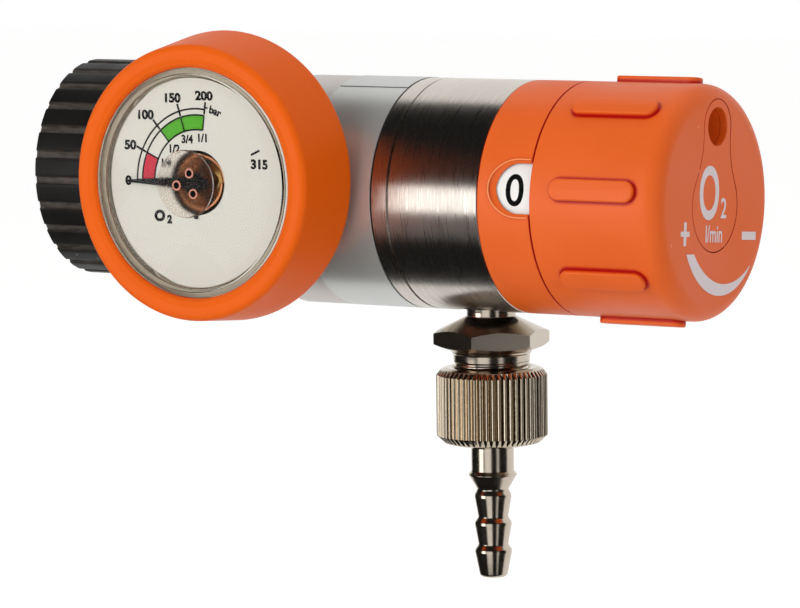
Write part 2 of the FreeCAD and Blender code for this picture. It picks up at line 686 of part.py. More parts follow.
def selector_bearing():
    gland_r = SHAFT_R + 1.6
    gland_at = BEARING_AT + 2.0
    plug = turned_x([
        (BEARING_AT, SHAFT_R + RUN_GAP), (gland_at, SHAFT_R + RUN_GAP), (gland_at, gland_r),
        (gland_at + 1.6, gland_r), (gland_at + 1.6, SHAFT_R + RUN_GAP),
        (BEARING_END, SHAFT_R + RUN_GAP), (BEARING_END, BEARING_R - SEAT_GAP - 1),
        (BEARING_END - 1, BEARING_R - SEAT_GAP), (BEARING_AT, BEARING_R - SEAT_GAP)], -AXIS_DROP)
    pocket = rod_x(BALL_R + SEAT_GAP, BEARING_AT + 1.6, BEARING_END + 1, 0,
                   -AXIS_DROP + INDEX_PITCH_R)
    return plug.cut(pocket)


def shaft_seal():
    centre = FreeCAD.Vector(BEARING_AT + 2.8, 0, -AXIS_DROP)
    return ring_seal(SHAFT_R + 0.82, 0.74, centre, ALONG_X)


def selector_shaft():
    disc_back = DISC_AT + DISC_THICK
    blank = turned_x([
        (DISC_AT, 0), (DISC_AT, SHAFT_R), (disc_back, SHAFT_R), (disc_back, SHAFT_SHOULDER_R),
        (BEARING_AT - FACE_GAP, SHAFT_SHOULDER_R), (BEARING_AT - FACE_GAP, SHAFT_R),
        (INDEX_PLATE_AT, SHAFT_R), (INDEX_PLATE_AT, INDEX_PLATE_R),
        (INDEX_PLATE_AT + INDEX_PLATE_THICK, INDEX_PLATE_R),
        (INDEX_PLATE_AT + INDEX_PLATE_THICK, SHAFT_R), (SHAFT_END, SHAFT_R),
        (SHAFT_END, SCREW_R + SEAT_GAP), (SHAFT_END - SCREW_LENGTH + 3, SCREW_R + SEAT_GAP),
        (SHAFT_END - SCREW_LENGTH + 3, 0)], -AXIS_DROP)
    dimple = Part.makeCone(DIMPLE_R, 0, DIMPLE_R, FreeCAD.Vector(
        INDEX_PLATE_AT, 0, -AXIS_DROP + INDEX_PITCH_R), ALONG_X)
    dimples = [around_body(dimple, 360.0 * k / POSITIONS) for k in range(POSITIONS)]
    flat_at = KNOB_AT + HUB_RECESS
    flat = Part.makeBox(SHAFT_END - flat_at + 1, 2 * SHAFT_R, SHAFT_FLAT + 1, FreeCAD.Vector(
        flat_at, -SHAFT_R, -AXIS_DROP + SHAFT_R - SHAFT_FLAT))
    return blank.cut(dimples + [flat])


def index_ball():
    centre_x = INDEX_PLATE_AT - RUN_GAP - BALL_R
    return Part.makeSphere(BALL_R, FreeCAD.Vector(centre_x, 0, -AXIS_DROP + INDEX_PITCH_R))


def index_spring():
    wire = 0.22
    floor = BEARING_AT + 1.6
    length = INDEX_PLATE_AT - RUN_GAP - 2 * BALL_R - floor - 2 * wire - 0.1
    start = FreeCAD.Vector(floor + wire + 0.05, 0, -AXIS_DROP + INDEX_PITCH_R)
    return coil(BALL_R - wire - 0.1, wire, length, 3, start, ALONG_X)


# Collar, number ring and knob

def window_prism(grow, reach):
    start = COLLAR_END - WINDOW_LENGTH - grow
    outline = slot_outline(start, 3 * WINDOW_LENGTH, 2 * (WINDOW_HALF + grow))
    return around_body(plate_towards_front(outline, reach), -HEAD_TURN)


def window_collar():
    sleeve = turned_x([
        (COLLAR_AT, COLLAR_SEAT_R + SEAT_GAP), (COLLAR_AT + COLLAR_FLANGE, COLLAR_SEAT_R + SEAT_GAP),
        (COLLAR_AT + COLLAR_FLANGE, BODY_R - COLLAR_WALL), (COLLAR_END, BODY_R - COLLAR_WALL),
        (COLLAR_END, BODY_R - 0.3), (COLLAR_END - 0.3, BODY_R), (COLLAR_AT, BODY_R)], -AXIS_DROP)
    rim = tube_x(BODY_R + WINDOW_RIM_HEIGHT, BODY_R - 0.5, COLLAR_AT + 0.3, COLLAR_END, -AXIS_DROP)
    rim = rim.common(window_prism(WINDOW_RIM, BODY_R + 5))
    return sleeve.fuse(rim).cut(window_prism(0.0, BODY_R + 6)).removeSplitter()


def number_ring():
    tail_r = KNOB_INNER_R - SEAT_GAP
    inner = RING_R - RING_WALL
    return turned_x([
        (KNOB_AT - RING_LENGTH, inner), (KNOB_AT + RING_TAIL, inner - 0.4),
        (KNOB_AT + RING_TAIL, tail_r), (KNOB_AT, tail_r), (KNOB_AT, RING_R),
        (KNOB_AT - RING_LENGTH, RING_R)], -AXIS_DROP)


def cap_outline(gap):
    top_r = CAP_TOP_R - gap
    low_r = CAP_LOWER_R - gap
    waist_r = CAP_WAIST_R + gap
    top = WELL_HEIGHT
    low = -CAP_LOWER_DROP
    span = top - low
    reach = waist_r + low_r
    rise = (reach ** 2 - (waist_r + top_r) ** 2 + span ** 2) / (2 * span)
    side = math.sqrt(reach ** 2 - rise ** 2)
    centre = FreeCAD.Vector(0, side, low + rise)
    low_c = FreeCAD.Vector(0, 0, low)
    top_c = FreeCAD.Vector(0, 0, top)
    low_touch = low_c + (centre - low_c) * (low_r / reach)
    top_touch = top_c + (centre - top_c) * (top_r / (waist_r + top_r))
    middle = ((low_touch + top_touch) * 0.5 - centre).normalize() * waist_r + centre
    mirror = [FreeCAD.Vector(0, -p.y, p.z) for p in (low_touch, middle, top_touch)]
    bottom = low_c - ALONG_Z * low_r
    crown = top_c + ALONG_Z * top_r
    arcs = [Part.Arc(low_touch, middle, top_touch), Part.Arc(top_touch, crown, mirror[2]),
            Part.Arc(mirror[2], mirror[1], mirror[0]), Part.Arc(mirror[0], bottom, low_touch)]
    return Part.Wire([a.toShape() for a in arcs])


def cap_prism(gap, start, end):
    face = Part.Face(cap_outline(gap))
    face.translate(BODY_AXIS + ALONG_X * start)
    return around_body(face.extrude(ALONG_X * (end - start)), -CAP_TURN)


def grip_pad(angle):
    outline = slot_outline(KNOB_AT + GRIP_SETBACK, GRIP_LENGTH, GRIP_WIDTH)
    pad = plate_towards_front(outline, BODY_R + 6)
    start = KNOB_AT + 1
    end = KNOB_END - 1
    pad = pad.common(tube_x(BODY_R + GRIP_HEIGHT, BODY_R - 0.6, start, end, -AXIS_DROP))
    return around_body(pad, -angle)


def knob_end_edge(edge):
    curve = edge.Curve
    if not isinstance(curve, Part.Circle):
        return False
    return abs(curve.Radius - BODY_R) < 0.01 and abs(curve.Center.x - KNOB_END) < 0.01


def selector_knob():
    shell = turned_x([
        (KNOB_AT, KNOB_INNER_R), (KNOB_FLOOR, KNOB_INNER_R), (KNOB_FLOOR, HUB_R),
        (KNOB_AT + HUB_RECESS, HUB_R), (KNOB_AT + HUB_RECESS, 0), (KNOB_END, 0),
        (KNOB_END, BODY_R), (KNOB_AT + 0.3, BODY_R), (KNOB_AT, BODY_R - 0.3)], -AXIS_DROP)
    shell = shell.makeFillet(KNOB_ROUND, [e for e in shell.Edges if knob_end_edge(e)])
    well_z = -AXIS_DROP + WELL_HEIGHT
    well_floor = KNOB_END - WELL_DEPTH
    well = rod_x(WELL_R, well_floor, KNOB_END + 1, 0, well_z)
    tower = rod_x(WELL_R + WELL_WALL, well_floor - WELL_WALL, KNOB_FLOOR + 0.5, 0, well_z)
    pads = [grip_pad(HEAD_TURN + 360.0 * k / GRIPS) for k in range(GRIPS)]
    socket = rod_x(SHAFT_R + SEAT_GAP, KNOB_AT, SHAFT_END, 0, -AXIS_DROP)
    key = Part.makeBox(SHAFT_END - KNOB_AT + 1, 2 * SHAFT_R + 1, 3, FreeCAD.Vector(
        KNOB_AT - 0.5, -SHAFT_R - 0.5, -AXIS_DROP + SHAFT_R - SHAFT_FLAT + SEAT_GAP))
    cuts = [
        around_body(well, -CAP_TURN),
        socket.cut(key),
        rod_x(SCREW_R + SEAT_GAP, SHAFT_END - 1, SCREW_SEAT + 1, 0, -AXIS_DROP),
        rod_x(SCREW_HEAD_R + 0.2, SCREW_SEAT, KNOB_END + 1, 0, -AXIS_DROP),
        cap_prism(0.0, KNOB_END - CAP_THICK, KNOB_END + 1)]
    return shell.fuse(pads + [around_body(tower, -CAP_TURN)]).cut(cuts)


def knob_cap():
    well_z = -AXIS_DROP + WELL_HEIGHT
    plate = cap_prism(CAP_GAP, KNOB_END - CAP_THICK, KNOB_END)
    hole = rod_x(WELL_R, KNOB_END - CAP_THICK - 1, KNOB_END + 1, 0, well_z)
    return plate.cut(around_body(hole, -CAP_TURN))


def knob_screw():
    head = SCREW_SEAT + SCREW_HEAD_THICK
    blank = turned_x([
        (SCREW_SEAT - SCREW_LENGTH, 0), (SCREW_SEAT - SCREW_LENGTH, SCREW_R),
        (SCREW_SEAT, SCREW_R), (SCREW_SEAT, SCREW_HEAD_R), (head - 0.4, SCREW_HEAD_R),
        (head, SCREW_HEAD_R - 0.4), (head, 0)], -AXIS_DROP)
    key = hexagon(2.5, 0, 2, FreeCAD.Vector(head - 1.2, 0, -AXIS_DROP), ALONG_X)
    return blank.cut(key)


# Contents gauge

def gauge_socket():
    centre = FreeCAD.Vector(GAUGE_X, 0, GAUGE_RISE)
    front = FreeCAD.Vector(0, -1, 0)
    hex_end = GAUGE_SPOT + GAUGE_HEX_THICK
    stem = turned_front([
        (GAUGE_SPOT - GAUGE_PORT_DEPTH + 1, 1.0), (GAUGE_BACK + CASE_WALL + 1.5, 1.0),
        (GAUGE_BACK + CASE_WALL + 1.5, POST_R + 2.0), (GAUGE_BACK, POST_R + 2.0),
        (GAUGE_BACK, GAUGE_STEM_R), (hex_end - 1, GAUGE_STEM_R), (GAUGE_SPOT, GAUGE_STEM_R),
        (GAUGE_SPOT, GAUGE_PORT_R), (GAUGE_SPOT - GAUGE_PORT_DEPTH + 1.6, GAUGE_PORT_R),
        (GAUGE_SPOT - GAUGE_PORT_DEPTH + 1, GAUGE_PORT_R - 0.6)])
    flats = hexagon(GAUGE_HEX, GAUGE_SPOT, hex_end, centre, front)
    bore = rod_front(1.0, GAUGE_SPOT - 1, hex_end + 1)
    return stem.fuse(flats.cut(bore))


def gauge_case():
    inner = CASE_R - CASE_WALL
    ledge_r = inner - LEDGE_WIDTH
    return turned_front([
        (GAUGE_BACK, POST_R + 2.0 + SEAT_GAP), (GAUGE_BACK + CASE_WALL, POST_R + 2.0 + SEAT_GAP),
        (GAUGE_BACK + CASE_WALL, inner), (DIAL_LEVEL - LEDGE_THICK, inner),
        (DIAL_LEVEL - LEDGE_THICK, ledge_r), (DIAL_LEVEL, ledge_r), (DIAL_LEVEL, inner),
        (GAUGE_BACK + CASE_DEPTH, inner), (GAUGE_BACK + CASE_DEPTH, CASE_R),
        (GAUGE_BACK, CASE_R)])


def pointer_post():
    base = GAUGE_BACK + CASE_WALL + 1.5
    return turned_front([
        (base, SPINDLE_R + RUN_GAP), (base + POST_LENGTH, SPINDLE_R + RUN_GAP),
        (base + POST_LENGTH, POST_R - 0.6), (base + 2, POST_R - 0.2), (base + 1, POST_R + 1.8),
        (base, POST_R + 1.8)])


def bourdon_tube():
    base = GAUGE_BACK + CASE_WALL + 1.5
    length = DIAL_LEVEL - 0.4 - base - 2 * COIL_TUBE_R
    start = FreeCAD.Vector(GAUGE_X, -base - COIL_TUBE_R - 0.1, GAUGE_RISE)
    return coil(COIL_R, COIL_TUBE_R, length, COIL_TURNS, start, FreeCAD.Vector(0, -1, 0))


def gauge_dial():
    return turned_front([
        (DIAL_LEVEL, DIAL_HOLE_R), (DIAL_LEVEL + DIAL_THICK, DIAL_HOLE_R),
        (DIAL_LEVEL + DIAL_THICK, DIAL_R), (DIAL_LEVEL, DIAL_R)])


def gauge_pointer():
    root = POINTER_ROOT_WIDTH / 2
    tip = POINTER_TIP_WIDTH / 2
    level = -POINTER_LEVEL
    blade = Part.Face(Part.makePolygon([
        FreeCAD.Vector(GAUGE_X, level, GAUGE_RISE + root),
        FreeCAD.Vector(GAUGE_X - POINTER_REACH, level, GAUGE_RISE + tip),
        FreeCAD.Vector(GAUGE_X - POINTER_REACH, level, GAUGE_RISE - tip),
        FreeCAD.Vector(GAUGE_X, level, GAUGE_RISE - root),
        FreeCAD.Vector(GAUGE_X, level, GAUGE_RISE + root)]))
    blade = blade.extrude(FreeCAD.Vector(0, -POINTER_THICK, 0))
    base = GAUGE_BACK + CASE_WALL + 1.5
    hub = turned_front([
        (base + 0.4, 0), (base + 0.4, SPINDLE_R), (POINTER_LEVEL - 0.5, SPINDLE_R),
        (POINTER_LEVEL - 0.5, 2.0), (POINTER_LEVEL + POINTER_THICK + 0.3, 2.0),
        (POINTER_LEVEL + POINTER_THICK + 0.5, 1.8), (POINTER_LEVEL + POINTER_THICK + 0.5, 0)])
    return hub.fuse(blade).removeSplitter()


def gauge_lens():
    inner = CASE_R - CASE_WALL
    skirt_r = DIAL_R + 0.4
    step = GAUGE_BACK + CASE_DEPTH
    back = LENS_FRONT - LENS_THICK
    crown_back = LENS_CROWN - LENS_THICK

    def spot(out, r):
        return FreeCAD.Vector(GAUGE_X + r, -out, GAUGE_RISE)

    half = (LENS_EDGE_R - 0.6 + LENS_ROUNDEL_R) / 2
    rise = LENS_CROWN - LENS_FRONT
    front_arc = Part.Arc(spot(LENS_FRONT, LENS_EDGE_R - 0.6), spot(LENS_FRONT + 0.72 * rise, half),
                         spot(LENS_CROWN, LENS_ROUNDEL_R)).toShape()
    back_arc = Part.Arc(spot(crown_back, 0), spot(back + 0.8 * (crown_back - back), skirt_r / 2),
                        spot(back, skirt_r)).toShape()
    lines = [(crown_back, 0), (LENS_CROWN, 0), (LENS_CROWN, LENS_ROUNDEL_R)]
    crown = [Part.makeLine(spot(*a), spot(*b)) for a, b in zip(lines, lines[1:])]
    rim = [(LENS_FRONT, LENS_EDGE_R - 0.6), (LENS_FRONT - 0.4, LENS_EDGE_R), (step, LENS_EDGE_R),
           (step, inner - SEAT_GAP), (DIAL_LEVEL, inner - SEAT_GAP), (DIAL_LEVEL, skirt_r),
           (back, skirt_r)]
    edge = [Part.makeLine(spot(*a), spot(*b)) for a, b in zip(rim, rim[1:])]
    wire = Part.Wire(Part.__sortEdges__(crown + [front_arc] + edge + [back_arc]))
    lens = Part.Face(wire).revolve(FreeCAD.Vector(GAUGE_X, 0, GAUGE_RISE), ALONG_Y, 360)
    dimples = []
    for k in range(3):
        a = math.radians(75 + 120 * k)
        x = LENS_DIMPLE_PITCH_R * math.cos(a)
        z = LENS_DIMPLE_PITCH_R * math.sin(a)
        dimples.append(rod_front(LENS_DIMPLE_R, LENS_CROWN - 1.0, LENS_CROWN + 1, x, z))
    return lens.cut(dimples)


def gauge_guard():
    rear = GAUGE_BACK - GUARD_LIP
    lip_at = GAUGE_BACK + CASE_DEPTH
    inner = CASE_R + SEAT_GAP
    body = turned_front([(rear, 0), (GUARD_FRONT, 0), (GUARD_FRONT, GUARD_FRONT_R), (rear, GUARD_REAR_R)])
    edges = [e for e in body.Edges if edge_at_level(e, GUARD_FRONT) or edge_at_level(e, rear)]
    body = body.makeFillet(GUARD_ROUND, edges)
    body.translate(ALONG_Z * GUARD_LIFT)
    hollow = turned_front([
        (rear - 1, 0), (rear - 1, CASE_R - 2.0), (GAUGE_BACK - SEAT_GAP, CASE_R - 2.0),
        (GAUGE_BACK - SEAT_GAP, inner), (lip_at + SEAT_GAP, inner), (lip_at + SEAT_GAP, GUARD_MOUTH_R),
        (GUARD_FRONT - 1.0, GUARD_MOUTH_R), (GUARD_FRONT, GUARD_FACE_R), (GUARD_FRONT + 1, GUARD_FACE_R),
        (GUARD_FRONT + 1, 0)])
    return body.cut(hollow)


def edge_at_level(edge, out):
    box = edge.BoundBox
    return abs(box.YMin + out) < 0.01 and abs(box.YMax + out) < 0.01


# Outlet

def outlet_fitting():
    corner = HEX_FLATS / math.sqrt(3.0)
    seat = -OUTLET_SPOT + WASHER_THICK
    thread_top = -OUTLET_SPOT - OUTLET_THREAD_LENGTH
    turning = turned_down([
        (thread_top, OUTLET_BORE_R), (thread_top, OUTLET_THREAD_R), (seat, OUTLET_THREAD_R),
        (seat, OUTLET_COLLAR_R), (HEX_TOP - 0.8, OUTLET_COLLAR_R), (HEX_TOP, HEX_SHOULDER_R),
        (HEX_UPPER, corner), (HEX_LOWER, corner), (HEX_BOTTOM, STUD_R + 0.3),
        (HEX_BOTTOM + 0.3, STUD_R), (STUD_END - 0.6, STUD_R), (STUD_END, STUD_R - 0.6),
        (STUD_END, OUTLET_BORE_R)])
    centre = FreeCAD.Vector(OUTLET_X, 0, BODY_BOTTOM)
    bar = hexagon(HEX_FLATS, -HEX_BOTTOM, -HEX_TOP, centre, ALONG_Z, HEX_TURN)
    stock_length = 2 * STUD_END
    stock = Part.makeCylinder(STUD_R + 0.2, stock_length, centre - ALONG_Z * (STUD_END + FACE_GAP))
    return turning.common(bar.fuse(stock)).removeSplitter()


def outlet_washer():
    return turned_down([
        (-OUTLET_SPOT, OUTLET_THREAD_R + SEAT_GAP), (-OUTLET_SPOT + WASHER_THICK, OUTLET_THREAD_R + SEAT_GAP),
        (-OUTLET_SPOT + WASHER_THICK, WASHER_R), (-OUTLET_SPOT, WASHER_R)])


def outlet_nut():
    bore = STUD_R + RUN_GAP
    lip_at = NUT_BOTTOM - NUT_LIP
    blank = turned_down([
        (NUT_TOP, bore + 0.4), (NUT_TOP + 0.4, bore), (lip_at, bore), (lip_at, TAIL_R + RUN_GAP),
        (NUT_BOTTOM, TAIL_R + RUN_GAP), (NUT_BOTTOM, NUT_BOTTOM_R), (NUT_KNURL_BOTTOM, NUT_R),
        (NUT_KNURL_TOP, NUT_R), (NUT_TOP, NUT_TOP_R)])
    pitch = 2 * math.pi * NUT_R / KNURLS
    top = BODY_BOTTOM - NUT_TOP + 1
    cuts = []
    groove = Part.Face(Part.makePolygon([
        FreeCAD.Vector(OUTLET_X + NUT_R - KNURL_DEPTH, 0, top),
        FreeCAD.Vector(OUTLET_X + NUT_R + 0.1, 0.36 * pitch, top),
        FreeCAD.Vector(OUTLET_X + NUT_R + 0.1, -0.36 * pitch, top),
        FreeCAD.Vector(OUTLET_X + NUT_R - KNURL_DEPTH, 0, top)]))
    groove = groove.extrude(FreeCAD.Vector(0, 0, -(NUT_BOTTOM - NUT_TOP) - 2))
    for k in range(KNURLS):
        cut = groove.copy()
        cut.rotate(FreeCAD.Vector(OUTLET_X, 0, 0), ALONG_Z, 360.0 * k / KNURLS)
        cuts.append(cut)
    return blank.cut(cuts)


def hose_tail():
    flange_at = STUD_END + FACE_GAP
    flange_end = NUT_BOTTOM - NUT_LIP - FACE_GAP
    bore = OUTLET_BORE_R - 0.1
    seal_out = bore + 0.9 + 2 * TAIL_SEAL_WIRE + 0.1
    profile = [
        (flange_at, bore), (flange_at, bore + 0.8), (flange_at + TAIL_SEAL_DEPTH, bore + 0.8),
        (flange_at + TAIL_SEAL_DEPTH, seal_out), (flange_at, seal_out), (flange_at, TAIL_FLANGE_R),
        (flange_end, TAIL_FLANGE_R), (flange_end, TAIL_R), (TAIL_COLLAR_AT - 0.75, TAIL_R),
        (TAIL_COLLAR_AT, TAIL_COLLAR_R), (TAIL_COLLAR_AT + 0.3, TAIL_COLLAR_R - 0.15),
        (BARB_FIRST - BARB_RISE, TAIL_WAIST_R)]
    for k in range(BARBS):
        crest = BARB_FIRST + k * BARB_PITCH
        profile.append((crest, BARB_R))
        if k < BARBS - 1:
            profile.append((crest + BARB_PITCH - BARB_RISE, BARB_ROOT_R))
    profile += [(TAIL_END - 0.5, BARB_TIP_R), (TAIL_END, BARB_TIP_R - 0.4), (TAIL_END, bore)]
    return turned_down(profile)


def tail_seal():
    bore = OUTLET_BORE_R - 0.1
    major = bore + 0.85 + TAIL_SEAL_WIRE
    depth = STUD_END + FACE_GAP + TAIL_SEAL_DEPTH - TAIL_SEAL_WIRE - SEAT_GAP
    centre = FreeCAD.Vector(OUTLET_X, 0, BODY_BOTTOM - depth)
    return ring_seal(major, TAIL_SEAL_WIRE, centre, ALONG_Z)


# Relief valve

def relief_cap():
    x = OUTLET_BODY_AT + RELIEF_AT
    head_end = RELIEF_SPOT + RELIEF_HEX_THICK
    start = RELIEF_SPOT - RELIEF_THREAD_LENGTH
    cup = turned_back([
        (start, RELIEF_CAP_BORE_R), (head_end - 1.2, RELIEF_CAP_BORE_R),
        (head_end - 1.2, RELIEF_VENT_R), (head_end, RELIEF_VENT_R), (head_end, RELIEF_HEX / 2),
        (head_end - 0.5, RELIEF_HEX), (RELIEF_SPOT, RELIEF_HEX),
        (RELIEF_SPOT, RELIEF_PORT_R - SEAT_GAP), (start, RELIEF_PORT_R - SEAT_GAP)], x)
    centre = FreeCAD.Vector(x, 0, -AXIS_DROP)
    bar = hexagon(RELIEF_HEX, start - 1, head_end + 1, centre, ALONG_Y)
    return cup.common(bar)


def relief_poppet():
    x = OUTLET_BODY_AT + RELIEF_AT
    start = RELIEF_SEAT + 0.1
    back = start + POPPET_THICK
    return turned_back([
        (start, 0), (start, POPPET_R), (back, POPPET_R), (back, POPPET_STEM_R),
        (back + POPPET_STEM_LENGTH, POPPET_STEM_R), (back + POPPET_STEM_LENGTH, 0)], x)


def relief_spring():
    x = OUTLET_BODY_AT + RELIEF_AT
    low = RELIEF_SEAT + 0.1 + POPPET_THICK
    high = RELIEF_SPOT + RELIEF_HEX_THICK - 1.2
    length = high - low - 2 * RELIEF_WIRE_R - 0.1
    start = FreeCAD.Vector(x, low + RELIEF_WIRE_R + 0.05, -AXIS_DROP)
    return coil(RELIEF_COIL_R, RELIEF_WIRE_R, length, RELIEF_TURNS, start, ALONG_Y)


NODES = [
    handwheel, union_nut, union_clip, inlet_connector, inlet_seal, inlet_filter, inlet_body,
    label_sleeve, gauge_socket, gauge_case, gauge_guard, gauge_dial, gauge_lens, gauge_pointer,
    pointer_post, bourdon_tube, piston, piston_seat_pad, piston_head_seal, piston_stem_seal,
    main_spring, outlet_body, flow_seal, flow_disc, selector_bearing, shaft_seal, selector_shaft,
    index_ball, index_spring, number_ring, window_collar, selector_knob, knob_cap, knob_screw,
    outlet_fitting, outlet_washer, outlet_nut, hose_tail, tail_seal, relief_cap, relief_poppet,
    relief_spring]

os.makedirs("parts", exist_ok=True)
for node in NODES:
    shape = node()
    shape.exportStep("parts/" + node.__name__ + ".step")
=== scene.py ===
import bmesh
import bpy
import math
from mathutils import Matrix, Vector


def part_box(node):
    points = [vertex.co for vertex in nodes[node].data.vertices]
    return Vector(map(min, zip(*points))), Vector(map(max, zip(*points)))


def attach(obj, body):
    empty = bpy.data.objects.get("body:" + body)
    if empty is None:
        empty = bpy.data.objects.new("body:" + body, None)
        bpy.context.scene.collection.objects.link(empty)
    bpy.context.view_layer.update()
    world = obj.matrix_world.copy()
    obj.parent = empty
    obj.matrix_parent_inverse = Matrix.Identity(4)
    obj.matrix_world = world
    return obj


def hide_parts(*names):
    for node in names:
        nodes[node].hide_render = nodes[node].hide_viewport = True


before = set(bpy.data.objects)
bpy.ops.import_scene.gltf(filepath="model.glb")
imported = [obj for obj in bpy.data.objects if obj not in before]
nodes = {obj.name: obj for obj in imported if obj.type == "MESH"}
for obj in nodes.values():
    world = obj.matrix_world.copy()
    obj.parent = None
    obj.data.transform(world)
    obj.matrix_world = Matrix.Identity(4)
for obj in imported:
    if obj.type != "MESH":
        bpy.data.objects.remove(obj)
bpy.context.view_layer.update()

# Meshes are worked out in millimetres and laid down in metres.
MM = 0.001
X, Y, Z = Vector((1, 0, 0)), Vector((0, 1, 0)), Vector((0, 0, 1))


def span(node, axis):
    low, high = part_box(node)
    return low[axis] / MM, high[axis] / MM


def middle(node, axis):
    return sum(span(node, axis)) / 2


# Places taken from the frame
BODY_Z = middle("outlet_body", 2)
BODY_R = (span("outlet_body", 2)[1] - span("outlet_body", 2)[0]) / 2
BODY_BOTTOM = BODY_Z - BODY_R
GAUGE_X = middle("gauge_dial", 0)
GAUGE_Z = middle("gauge_dial", 2)
OUTLET_X = middle("outlet_nut", 0)
WHEEL_START, WHEEL_END = span("handwheel", 0)
WHEEL_R = span("handwheel", 2)[1]
COLLAR_START, COLLAR_END = span("window_collar", 0)
KNOB_START, KNOB_END = span("selector_knob", 0)
RING_R = (span("number_ring", 2)[1] - span("number_ring", 2)[0]) / 2
HEAD_TURN = 9.0
FACE_TURN = 5.0

# An axis is its origin, the way along it, and the directions of angle 0 and 90 degrees.
INLET_AXIS = (Vector((0, 0, 0)), X, -Y, Z)
BODY_AXIS = (Vector((0, 0, BODY_Z)), X, -Y, Z)
GAUGE_AXIS = (Vector((GAUGE_X, 0, GAUGE_Z)), -Y, X, Z)
OUTLET_AXIS = (Vector((OUTLET_X, 0, BODY_BOTTOM)), -Z, X, -Y)


# Mesh helpers

def rounded(profile, fineness=4):
    """A closed outline of (along, radius) or (along, radius, edge radius), with its edges rounded."""
    made = []
    for i, point in enumerate(profile):
        here = Vector(point[:2])
        size = point[2] if len(point) > 2 else 0.0
        before = Vector(profile[i - 1][:2]) - here
        after = Vector(profile[(i + 1) % len(profile)][:2]) - here
        if size <= 0:
            made.append(here)
            continue
        half = before.angle(after) / 2
        back = min(size / math.tan(half), 0.48 * before.length, 0.48 * after.length)
        centre = here + (before.normalized() + after.normalized()).normalized() * (back / math.cos(half))
        start = here + before.normalized() * back - centre
        end = here + after.normalized() * back - centre
        first = math.atan2(start.y, start.x)
        sweep = math.remainder(math.atan2(end.y, end.x) - first, 2 * math.pi)
        for k in range(fineness + 1):
            a = first + sweep * k / fineness
            made.append(centre + Vector((math.cos(a), math.sin(a))) * start.length)
    return made


def revolve(bm, outline, axis, steps=160, carve=None, closed=True):
    origin, along, zero, ninety = axis
    rings = []
    for station, radius in outline:
        if radius < 1e-6:
            rings.append([bm.verts.new(origin + along * station)])
            continue
        ring = []
        for k in range(steps):
            a = 2 * math.pi * k / steps
            r = carve(station, radius, a) if carve else radius
            out = zero * math.cos(a) + ninety * math.sin(a)
            ring.append(bm.verts.new(origin + along * station + out * r))
        rings.append(ring)
    pairs = list(zip(rings, rings[1:]))
    if closed:
        pairs.append((rings[-1], rings[0]))
    for one, two in pairs:
        if len(one) == 1 and len(two) == 1:
            continue
        for k in range(steps):
            n = (k + 1) % steps
            corners = [one[k % len(one)], one[n % len(one)], two[n % len(two)], two[k % len(two)]]
            bm.faces.new(list(dict.fromkeys(corners)))
    bmesh.ops.recalc_face_normals(bm, faces=bm.faces)


def stitch(bm, rings):
    """Faces between each ring of vertices and the next; every ring is closed and of one length."""
    made = []
    for one, two in zip(rings, rings[1:]):
        for k in range(len(one)):
            n = (k + 1) % len(one)
            made.append(bm.faces.new((one[k], one[n], two[n], two[k])))
    return made


def turned(profile, axis, steps=160, carve=None, fineness=4):
    bm = bmesh.new()
    revolve(bm, rounded(profile, fineness), axis, steps, carve)
    return bm


def piece(name, bm, material, body, node=None, sharp=38):
    """Turns millimetre mesh work into an object that rides on its body."""
    bm.transform(Matrix.Scale(MM, 4))
    bmesh.ops.recalc_face_normals(bm, faces=bm.faces)
    for face in bm.faces:
        face.smooth = True
    for edge in bm.edges:
        edge.smooth = not (edge.is_manifold and edge.calc_face_angle(0) > math.radians(sharp))
    made = loose_object(name, bm)
    for one in material if isinstance(material, list) else [material]:
        made.data.materials.append(one)
    normals = made.modifiers.new("flat_faces_stay_flat", "WEIGHTED_NORMAL")
    normals.keep_sharp = True
    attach(made, body)
    if node:
        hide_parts(node)
    return made


def combined(base, others, operation):
    """The mesh work that a union or a cut of solids leaves."""
    result = base
    for other in others:
        pair = [loose_object("stock", bm) for bm in (result, other)]
        cut = pair[0].modifiers.new("cut", "BOOLEAN")
        cut.operation = operation
        cut.solver = "EXACT"
        cut.object = pair[1]
        graph = bpy.context.evaluated_depsgraph_get()
        mesh = pair[0].evaluated_get(graph).to_mesh()
        result = bmesh.new()
        result.from_mesh(mesh)
        for made in pair:
            bpy.data.objects.remove(made)
    return result


def rod(axis, start, end, radius, x=0.0, y=0.0, steps=64):
    origin, along, zero, ninety = axis
    moved = (origin + zero * x + ninety * y, along, zero, ninety)
    bm = bmesh.new()
    revolve(bm, [(start, 0), (start, radius), (end, radius), (end, 0)], moved, steps, closed=False)
    return bm


def swept(bm, path, radius, sides=12):
    """A round wire along a list of points."""
    rings = []
    for i, point in enumerate(path):
        ahead = path[min(i + 1, len(path) - 1)] - path[max(i - 1, 0)]
        side = ahead.cross(Y).normalized()
        lift = side.cross(ahead).normalized()
        ring = []
        for k in range(sides):
            a = 2 * math.pi * k / sides
            ring.append(bm.verts.new(point + (side * math.cos(a) + lift * math.sin(a)) * radius))
        rings.append(ring)
    stitch(bm, rings)
    bm.faces.new(rings[0])
    bm.faces.new(list(reversed(rings[-1])))


def prism(bm, outline, lift, material_index=0):
    """A plate between two copies of an outline, the second moved by lift."""
    low = [bm.verts.new(point) for point in outline]
    high = [bm.verts.new(point + lift) for point in outline]
    faces = [bm.faces.new(low), bm.faces.new(list(reversed(high)))] + stitch(bm, [low, high])
    for face in faces:
        face.material_index = material_index


def loose_object(name, bm):
    """Hands mesh work to a new object in the scene, as it stands."""
    mesh = bpy.data.meshes.new(name)
    bm.to_mesh(mesh)
    bm.free()
    made = bpy.data.objects.new(name, mesh)
    bpy.context.scene.collection.objects.link(made)
    return made


# Shader helpers

